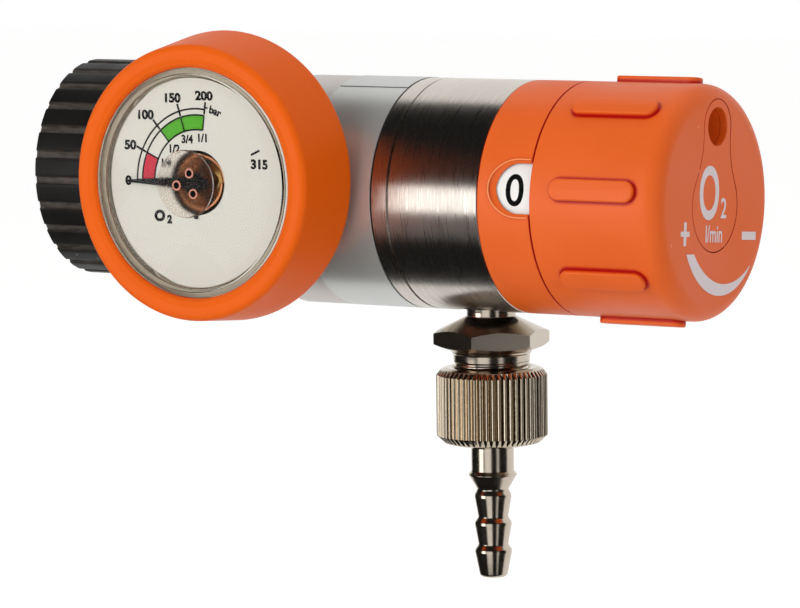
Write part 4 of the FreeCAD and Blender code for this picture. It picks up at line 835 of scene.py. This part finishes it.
def ring_numbers():
    """One flow figure a click; long ones are cut into strips so that they bend round the ring."""
    bm = bmesh.new()
    right, first, strip = 104.4, 8.2, 0.42
    for k, text in enumerate(FLOWS):
        turn = math.radians(first - 360.0 / len(FLOWS) * k)
        flat = bmesh.new()
        height = 5.9 if len(text) == 1 else 4.4
        stamp(flat, text, height, lambda u, v, w: Vector((u, v, w)), 1.0 if len(text) == 1 else 0.7, 0.012)
        for cut in range(-7, 8):
            bmesh.ops.bisect_plane(flat, geom=flat.verts[:] + flat.edges[:] + flat.faces[:],
                                   plane_co=(0, cut * strip, 0), plane_no=(0, 1, 0))
        for vert in flat.verts:
            radius = RING_R + OFF_FACE + vert.co.z * PRINT_LIFT
            a = turn + vert.co.y / RING_R
            vert.co = Vector((right + vert.co.x, -radius * math.cos(a), BODY_Z + radius * math.sin(a)))
        pour(flat, bm)
    return piece("ring_numbers", bm, PRINT_BLACK, "selector", sharp=60)


def on_face(y, z, lift=0.0):
    return Vector((KNOB_END + OFF_FACE + lift * PRINT_LIFT, y, BODY_Z + z))


def knob_print():
    bm = bmesh.new()
    tilt = math.radians(-FACE_TURN)

    def at(y, z):
        def settle(u, v, w):
            across = y + u * math.cos(tilt) - v * math.sin(tilt)
            return on_face(across, z + u * math.sin(tilt) + v * math.cos(tilt), w)
        return settle

    stamp(bm, "O", 9.9, at(-2.1, 2.05), 0.7, 0.02)
    stamp(bm, "2", 3.7, at(3.2, -1.1), 0.9, 0.015)
    stamp(bm, "l/min", 3.2, at(-0.5, -5.5), 0.74, 0.012)
    plus = at(-11.2, -4.7)
    w, h, s = 1.6, 2.15, 0.47
    outline = [(-s, h), (s, h), (s, s), (w, s), (w, -s), (s, -s), (s, -h), (-s, -h), (-s, -s), (-w, -s),
               (-w, s), (-s, s)]
    prism(bm, [plus(u, v, 0.0) for u, v in outline], KNOB_PRINT_RISE)
    minus = at(12.7, -6.9)
    w, h = 2.65, 0.75
    prism(bm, [minus(u, v, 0.0) for u, v in ((-w, h), (w, h), (w, -h), (-w, -h))], KNOB_PRINT_RISE)
    # The tapered arrow lies between two circles: middle, radius, first and last angle of each.
    arc = []
    count = 40
    for steps, (y, z), radius, first, last in ((count, (4.42, 0.15), 15.15, -144.7, -56.2),
                                               (count - 1, (2.53, -2.45), 14.54, -44.0, -155.9)):
        for k in range(steps + 1):
            a = math.radians(first + (last - first) * k / steps)
            arc.append(on_face(y + radius * math.cos(a), z + radius * math.sin(a)))
    prism(bm, arc, KNOB_PRINT_RISE)
    return piece("knob_face_print", bm, PRINT_PALE, "selector", sharp=60)


def grip(angle):
    """One raised bar on the knob, its foot sunk a little into the shell."""
    start, length, width, height = KNOB_START + 4.5, 17.4, 3.8, 1.15
    soft, sunk, around = 0.35, 0.6, 16
    steps = [(0.0, -sunk), (0.0, height - soft)]
    for k in range(1, 6):
        a = math.pi / 2 * k / 5
        steps.append((soft * (1 - math.cos(a)), height - soft + soft * math.sin(a)))
    steps += [(1.2, height + 0.03), (width / 2 - 0.02, height + 0.05)]
    bm = bmesh.new()
    rings = []
    for inset, level in steps:
        half = width / 2 - inset
        outline = []
        for first, middle_x in ((math.pi / 2, start + length - width / 2), (-math.pi / 2, start + width / 2)):
            for k in range(around + 1):
                a = first - math.pi * k / around
                outline.append((middle_x + half * math.cos(a), half * math.sin(a)))
        ring = []
        for along, across in outline:
            turn = math.radians(angle) + across / BODY_R
            radius = BODY_R + level
            ring.append(bm.verts.new((along, -radius * math.cos(turn), BODY_Z + radius * math.sin(turn))))
        rings.append(ring)
    stitch(bm, rings)
    bm.faces.new(rings[-1])
    bm.faces.new(list(reversed(rings[0])))
    bmesh.ops.recalc_face_normals(bm, faces=bm.faces)
    return bm


WELL_UP, WELL_R = 13.9, 3.5
CAP_DEPTH = 1.5


def cap_outline(grow):
    """Keyhole outline of the cap as (across, up) points, its waist drawn in by two arcs."""
    top_r, low_r, waist_r = 5.1 + grow, 8.5 + grow, 16.0 - grow
    top, low = WELL_UP, -0.5
    reach = waist_r + low_r
    rise = (reach ** 2 - (waist_r + top_r) ** 2 + (top - low) ** 2) / (2 * (top - low))
    side = math.sqrt(reach ** 2 - rise ** 2)
    to_low = math.atan2(-rise, -side)
    to_top = math.atan2(top - low - rise, -side) - 2 * math.pi
    points = []
    for k in range(13):
        a = to_low + (to_top - to_low) * k / 12
        points.append((side + waist_r * math.cos(a), low + rise + waist_r * math.sin(a)))
    start = to_top + math.pi
    for k in range(1, 24):
        a = start + (math.pi - 2 * start) * k / 24
        points.append((top_r * math.cos(a), top + top_r * math.sin(a)))
    points += [(-y, z) for y, z in points[12::-1]]
    first = math.atan2(points[-1][1] - low, points[-1][0])
    last = math.atan2(points[0][1] - low, points[0][0])
    sweep = (last - first) % (2 * math.pi)
    for k in range(1, 32):
        a = first + sweep * k / 32
        points.append((low_r * math.cos(a), low + low_r * math.sin(a)))
    return points


def turned_with_cap(y, z):
    """A point of the knob's face when the cap stands a little off upright."""
    tilt = math.radians(FACE_TURN)
    return y * math.cos(tilt) + z * math.sin(tilt), z * math.cos(tilt) - y * math.sin(tilt)


def face_prism(outline, start, end):
    bm = bmesh.new()
    places = [turned_with_cap(y, z) for y, z in outline]
    prism(bm, [Vector((start, y, BODY_Z + z)) for y, z in places], Vector((end - start, 0, 0)))
    bmesh.ops.recalc_face_normals(bm, faces=bm.faces)
    return bm


def well_rod(depth, end, radius=WELL_R):
    """A rod in line with the well of the knob's face, from depth below the face to end."""
    well_y, well_z = turned_with_cap(0.0, WELL_UP)
    return rod(BODY_AXIS, KNOB_END - depth, end, radius, -well_y, well_z)


def selector_knob():
    inner = BODY_R - 2.6
    floor = KNOB_END - 4.5
    hub_start, hub_r = KNOB_START + 1.3, 6.5
    shaft_end, shaft_r = span("selector_shaft", 0)[1], 3.1
    seat, screw_r, head_r = shaft_end + 4.0, 1.6, 3.0
    above = KNOB_END + 1.0
    grips = 8
    profile = [
        (KNOB_START, inner), (floor, inner), (floor, hub_r), (hub_start, hub_r), (hub_start, shaft_r),
        (shaft_end, shaft_r), (shaft_end, screw_r), (seat, screw_r), (seat, head_r), (KNOB_END, head_r),
        (KNOB_END, BODY_R, 3.4), (KNOB_START, BODY_R, 0.35)]
    bm = turned(profile, BODY_AXIS, steps=288, fineness=8)
    tower = well_rod(11.5, floor + 0.5, 5.0)
    bars = [grip(HEAD_TURN + 360.0 / grips * k) for k in range(grips)]
    bm = combined(bm, [tower] + bars, "UNION")
    recess = face_prism(cap_outline(0.0), KNOB_END - CAP_DEPTH, above)
    bm = combined(bm, [well_rod(10.0, above), recess], "DIFFERENCE")
    return piece("selector_knob_shell", bm, ORANGE_KNOB, "selector", "selector_knob")


def knob_cap():
    plate = face_prism(cap_outline(-0.14), KNOB_END - CAP_DEPTH, KNOB_END)
    bm = combined(plate, [well_rod(2.5, KNOB_END + 1.0)], "DIFFERENCE")
    made = piece("knob_cap_plate", bm, ORANGE_KNOB, "selector", "knob_cap")
    edge = made.modifiers.new("broken_edge", "BEVEL")
    edge.width = 0.12 * MM
    edge.segments = 2
    edge.limit_method = "ANGLE"
    edge.angle_limit = math.radians(40)
    made.modifiers.move(1, 0)
    return made


WINDOW_HALF = 4.6
WINDOW_LEFT = COLLAR_END - 7.0 + WINDOW_HALF


def window_layer(grow, height):
    """Outline of the window, grown all round, on a plane square to the way that it looks."""
    tilt = math.radians(HEAD_TURN)
    half = WINDOW_HALF + grow
    points = [(COLLAR_END + 3.0, half)]
    for k in range(25):
        a = math.pi / 2 + math.pi * k / 24
        points.append((WINDOW_LEFT + half * math.cos(a), half * math.sin(a)))
    points.append((COLLAR_END + 3.0, -half))
    return [Vector((x, -height * math.cos(tilt) + across * math.sin(tilt),
                    BODY_Z + height * math.sin(tilt) + across * math.cos(tilt))) for x, across in points]


def window_edge_highlight_bead():
    """The thin raised line round the window, two straights joined by half an oval, coloured paler than the
    moulding as a painted highlight.
    """
    bend, straight = 28, 14
    reach_left, half, run = 6.0, 5.3, 2.3
    sunk_r, wire = BODY_R - 0.02, 0.16
    path = []
    for along in range(-straight, bend + straight + 1):
        if 0 <= along <= bend:
            a = math.pi / 2 + math.pi * along / bend
            x, across = WINDOW_LEFT + reach_left * math.cos(a), half * math.sin(a)
        else:
            share = (-along if along < 0 else along - bend) / straight
            x, across = WINDOW_LEFT + run * share, half if along < 0 else -half
        turn = math.radians(HEAD_TURN) + math.asin(across / BODY_R)
        path.append(Vector((x, -sunk_r * math.cos(turn), BODY_Z + sunk_r * math.sin(turn))))
    bead = bmesh.new()
    swept(bead, path, wire, 10)
    return piece("window_edge_highlight_bead", bead, PAINTED_HIGHLIGHT_BEAD, "regulator")


def window_collar():
    seat, wall = 17.6, BODY_R - 0.8
    end, seat_end = COLLAR_END + 0.18, COLLAR_START + 1.6
    profile = [
        (COLLAR_START, seat), (seat_end, seat), (seat_end, wall), (end, wall),
        (end, BODY_R, 0.22), (COLLAR_START, BODY_R, 0.35)]
    bm = turned(profile, BODY_AXIS, steps=288, fineness=5)
    cutter = bmesh.new()
    layers = [[cutter.verts.new(p) for p in window_layer(grow, height)]
              for height, grow in ((18.0, 0.0), (20.75, 0.0), (21.6, 1.55), (23.0, 4.1))]
    stitch(cutter, layers)
    cutter.faces.new(layers[0])
    cutter.faces.new(list(reversed(layers[-1])))
    bmesh.ops.recalc_face_normals(cutter, faces=cutter.faces)
    bm = combined(bm, [cutter], "DIFFERENCE")
    window_edge_highlight_bead()
    return piece("window_collar_sleeve", bm, ORANGE_KNOB, "regulator", "window_collar",
                 sharp=25)


# Label and outlet

def label_sleeve():
    """The film wrapped round the body, and its lap with a painted shade line along the cut edge."""
    start, end = span("label_sleeve", 0)
    start -= 0.9
    over, under = BODY_R + 0.03, BODY_R - 0.2
    profile = [(start, under), (start, over, 0.05), (end, over, 0.05), (end, under)]
    bm = turned(profile, BODY_AXIS, 240)
    made = piece("label_wrap", bm, LABEL_FILM, "regulator", "label_sleeve")
    lap = bmesh.new()
    steps, sunk = 24, over - 0.1
    # The first strip is the lap's film; the second is the painted shade line at its cut edge.
    for first, last, lift, index in ((68.6, 100.0, 0.05, 0), (68.2, 68.75, 0.07, 1)):
        rows = []
        section = ((start, sunk), (start, over + lift), (end, over + lift), (end, sunk))
        for k in range(steps + 1):
            a = math.radians(first + (last - first) * k / steps)
            out = Vector((0, -math.cos(a), math.sin(a)))
            rows.append([lap.verts.new(Vector((x, 0, BODY_Z)) + out * r) for x, r in section])
        faces = [lap.faces.new(rows[0]), lap.faces.new(list(reversed(rows[-1])))] + stitch(lap, rows)
        for face in faces:
            face.material_index = index
    piece("label_overlap", lap, [LABEL_FILM, LAP_EDGE_PAINTED_SHADE], "regulator")
    return made


def outlet_fitting():
    """The 19 mm hexagon with its neck, and the threaded stud under it."""
    seat = BODY_BOTTOM - span("outlet_fitting", 2)[1]
    bore = 1.9
    corner = 19.05 / math.sqrt(3)
    tilt = math.radians(18.4)
    zero = X * math.cos(tilt) - Y * math.sin(tilt)
    axis = (OUTLET_AXIS[0], -Z, zero, (-Z).cross(zero))
    profile = [
        (seat, bore), (seat, 5.2, 0.2), (0.15, 4.6, 0.15), (1.0, 4.6, 0.3), (4.05, corner), (6.05, corner),
        (7.45, 7.6, 0.2), (7.8, 7.45, 0.1), (8.1, 7.2, 0.15), (9.3, 7.14), (9.5, 6.6), (9.5, bore)]
    bm = turned(profile, axis, steps=288, fineness=5)
    hexagon = bmesh.new()
    revolve(hexagon, [(seat - 1, 0), (seat - 1, corner), (12.0, corner), (12.0, 0)], axis, 6, closed=False)
    bm = combined(bm, [hexagon], "INTERSECT")
    pitch, depth, stud_r = 1.411, 0.55, 7.1
    start, end = 9.4, 19.9

    def carve(station, radius, angle):
        if not start + 0.1 < station < end - 0.1 or radius < 5.0:
            return radius
        phase = (station / pitch - angle / (2 * math.pi)) % 1.0
        fade = min(1.0, (station - start) / 0.8)
        return min(radius, stud_r - depth * fade * max(0.0, 1 - 2.4 * abs(phase - 0.5)))

    count = 90
    outline = [(start, bore)]
    for k in range(count + 1):
        station = start + (end - start) * k / count
        outline.append((station, min(stud_r, 6.5 + (end - station) * 1.2)))
    outline.append((end, bore))
    revolve(bm, outline, axis, 96, carve)
    return piece("outlet_stud", bm, PLATED_BRASS, "regulator", "outlet_fitting", sharp=28)


def outlet_nut():
    """The knurled nut; its ridges are round and the lines between them sharp."""
    ridges, depth, outer = 56, 0.75, 10.4
    bore, tail_hole = 7.24, 4.08

    def carve(_, radius, angle):
        return min(radius, outer - depth * (1 - abs(math.cos(angle * ridges / 2))))

    profile = [
        (10.5, bore + 0.4), (10.9, bore), (23.6, bore), (23.6, tail_hole), (25.2, tail_hole, 0.1),
        (25.35, 6.4, 0.5), (24.7, 8.9, 0.7), (23.3, outer, 0.15), (12.0, outer, 0.3), (10.85, 9.5, 0.5),
        (10.5, 8.6, 0.3)]
    bm = turned(profile, OUTLET_AXIS, steps=ridges * 12, carve=carve, fineness=4)
    return piece("clamp_nut_knurled", bm, WORN_PLATING, "clamp_nut", "outlet_nut", sharp=30)


def hose_tail():
    """The barbed tail, with a flange held by the nut and a groove for its seal."""
    bore, groove_in, stem_r, flange_r = 1.8, 2.6, 4.0, 6.9
    top, groove_floor, flange_end = 20.1, 21.2, 23.4
    profile = [
        (top, bore), (top, groove_in), (groove_floor, groove_in), (groove_floor, stem_r), (top, stem_r),
        (top, flange_r, 0.2), (flange_end, flange_r, 0.2), (flange_end, stem_r, 0.3), (30.1, stem_r, 0.4),
        (30.75, 4.57, 0.15), (31.05, 4.42, 0.15), (33.58, 2.93, 0.5)]
    crests = (34.75, 39.95, 45.15)
    for crest in crests:
        profile.append((crest - 0.25, 3.42, 0.4))
        profile.append((crest + 0.3, 3.47, 0.6))
        if crest != crests[-1]:
            profile.append((crest + 4.05, 2.8, 0.4))
    profile += [(49.7, 2.62, 0.6), (50.1, 2.2, 0.2), (50.1, bore, 0.15)]
    bm = turned(profile, OUTLET_AXIS, steps=160, fineness=5)
    return piece("barbed_tail", bm, PLATED_BRASS, "tail", "hose_tail")


# Floor, lamps, surroundings and camera

VIEW_AZIMUTH, VIEW_ELEVATION, VIEW_ROLL = 32.46, 5.84, -0.69
VIEW_TARGET = Vector((0.06667, 0.0, -0.02412))
VIEW_DISTANCE = 0.9272
PHOTO_WIDTH_PX, FOCAL_PX, SENSOR_MM = 800, 4914.3, 36.0
STAGE_CENTRE = (0.07, 0.0, 0.0)
LAMP_AIM = (0.06, 0.0, -0.01)


def camera():
    a, e, r = (math.radians(v) for v in (VIEW_AZIMUTH, VIEW_ELEVATION, VIEW_ROLL))
    back = Vector((math.sin(a) * math.cos(e), -math.cos(a) * math.cos(e), math.sin(e)))
    right = Vector((math.cos(a), math.sin(a), 0))
    up = back.cross(right)
    rolled_right = right * math.cos(r) + up * math.sin(r)
    rolled_up = up * math.cos(r) - right * math.sin(r)
    data = bpy.data.cameras.new("photo_view")
    data.sensor_width = SENSOR_MM
    data.lens = FOCAL_PX / PHOTO_WIDTH_PX * SENSOR_MM
    data.clip_start, data.clip_end = 0.05, 50
    made = bpy.data.objects.new("photo_view", data)
    made.matrix_world = Matrix.Translation(VIEW_TARGET + back * VIEW_DISTANCE) @ Matrix(
        (rolled_right, rolled_up, back)).transposed().to_4x4()
    bpy.context.scene.collection.objects.link(made)
    bpy.context.scene.camera = made


def softbox(name, centre, wide, high, watts):
    """A lamp that lights the object and isn't mirrored in it; the reflection cards are for that."""
    data = bpy.data.lights.new(name, "AREA")
    data.shape = "RECTANGLE"
    data.size, data.size_y, data.energy = wide, high, watts
    made = bpy.data.objects.new(name, data)
    made.location = centre
    made.rotation_mode = "QUATERNION"
    made.rotation_quaternion = (Vector(LAMP_AIM) - Vector(centre)).to_track_quat("-Z", "Y")
    made.visible_camera = False
    made.visible_glossy = False
    made.visible_transmission = False
    bpy.context.scene.collection.objects.link(made)


def reflection_only(name, bm, level):
    """A stage piece that is only seen mirrored in the metal, about as bright as level."""
    made = loose_object(name, bm)
    made.location = STAGE_CENTRE
    card, tree, shader, out = blank_material(name)
    cloud = place(tree, MOTTLE, Colour=(1, 1, 1, 1), Depth=0.02, Scale=3.0)
    glow = add(tree, "Emission", {"Color": cloud["Colour"], "Strength": level})
    tree.links.new(glow.outputs[0], out.inputs["Surface"])
    tree.nodes.remove(shader)
    made.data.materials.append(card)
    for kind in ("camera", "diffuse", "transmission", "shadow", "volume_scatter"):
        setattr(made, "visible_" + kind, False)


def sky_patch(name, azimuth, elevation, distance, level):
    """Part of a sphere about the object; azimuth and elevation are (from, to) in degrees."""
    bm = bmesh.new()
    rows = []
    steps = 24
    for i in range(steps + 1):
        el = math.radians(elevation[0] + (elevation[1] - elevation[0]) * i / steps)
        row = []
        for k in range(steps + 1):
            az = math.radians(azimuth[0] + (azimuth[1] - azimuth[0]) * k / steps)
            way = Vector((math.sin(az) * math.cos(el), -math.cos(az) * math.cos(el), math.sin(el)))
            row.append(bm.verts.new(way * distance))
        rows.append(row)
    for one, two in zip(rows, rows[1:]):
        for k in range(steps):
            bm.faces.new((one[k], one[k + 1], two[k + 1], two[k]))
    reflection_only(name, bm, level)


def dark_surround(distance, wide, tall, lean, level):
    """The unlit front half of the studio: a cap of a sphere that leans up by lean degrees.

    It reaches wide degrees from its middle to the sides and tall degrees up and down.
    """
    bm = bmesh.new()
    tilt = math.radians(lean)
    way = Vector((0, -math.cos(tilt), math.sin(tilt)))
    up = X.cross(way)
    rings, around = 32, 64
    rows = []
    for i in range(1, rings + 1):
        ring = []
        for k in range(around):
            b = 2 * math.pi * k / around
            a = math.radians(tall + (wide - tall) * math.cos(b) ** 2) * i / rings
            out = (X * math.cos(b) + up * math.sin(b)) * math.sin(a) + way * math.cos(a)
            ring.append(bm.verts.new(out * distance))
        rows.append(ring)
    tip = bm.verts.new(way * distance)
    for k in range(around):
        bm.faces.new((tip, rows[0][k], rows[0][(k + 1) % around]))
    stitch(bm, rows)
    reflection_only("dark_surround", bm, level)


def background_rays(tree):
    """1 for rays that may see the pale background, 0 for those that light the object."""
    path = add(tree, "LightPath").outputs
    seen = maths(tree, "MAXIMUM", path["Is Camera Ray"], path["Is Glossy Ray"])
    return maths(tree, "MAXIMUM", seen, path["Is Transmission Ray"])


def pale_floor():
    half, below = 4.0, 0.12
    bm = bmesh.new()
    corners = ((-half, -half, 0), (half, -half, 0), (half, half, 0), (-half, half, 0))
    bm.faces.new([bm.verts.new(corner) for corner in corners])
    floor = loose_object("studio_floor", bm)
    floor.location = (0, 0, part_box("hose_tail")[0].z - below)
    pale, tree, shader, out = blank_material("pale_floor")
    cloud = place(tree, MOTTLE, Colour=linear(240, 240, 239), Depth=0.01, Scale=4.0, Roughness=0.8,
                  Grain=300.0)
    tree.links.new(cloud["Colour"], shader.inputs["Base Color"])
    shader.inputs["Roughness"].default_value = 0.8
    strength = maths(tree, "MULTIPLY", background_rays(tree), 0.5)
    glow = add(tree, "Emission", {"Color": (1, 1, 1, 1), "Strength": strength})
    both = add(tree, "AddShader", {0: shader.outputs[0], 1: glow.outputs[0]})
    tree.links.new(both.outputs[0], out.inputs["Surface"])
    floor.data.materials.append(pale)
    floor.visible_glossy = False


def studio():
    world = bpy.data.worlds.new("studio")
    world.use_nodes = True
    tree = world.node_tree
    tree.nodes.clear()
    level = maths(tree, "MULTIPLY_ADD", background_rays(tree), 0.5, 0.5)
    sky = add(tree, "Background", {"Color": (1, 1, 1, 1), "Strength": level})
    add(tree, "OutputWorld", {"Surface": sky.outputs[0]})
    bpy.context.scene.world = world
    bpy.context.scene.view_settings.view_transform = "Standard"
    pale_floor()
    softbox("front_softbox", (-0.35, -1.3, 0.35), 0.9, 0.7, 8.6)
    softbox("right_softbox", (1.25, -0.75, 0.05), 0.7, 0.7, 3.4)
    softbox("top_softbox", (0.1, 0.35, 1.3), 1.0, 0.7, 3.2)
    dark_surround(2.4, 116.0, 95.0, 4.0, 0.015)
    sky_patch("front_card", (-44.0, -20.0), (-12.0, 9.0), 1.4, 3.3)
    sky_patch("middle_card", (-12.0, 24.0), (-36.0, 8.0), 1.45, 1.1)
    sky_patch("right_card", (54.0, 66.0), (-36.0, 5.0), 1.45, 0.8)


dress_cad_nodes()
handwheel()
gauge_guard()
lens()
gauge_pointer()
gauge_coil()
gauge_dial()
dial_print()
stop_pin()
window_collar()
selector_knob()
knob_cap()
label_sleeve()
outlet_fitting()
outlet_nut()
hose_tail()
ring_numbers()
knob_print()
camera()
studio()
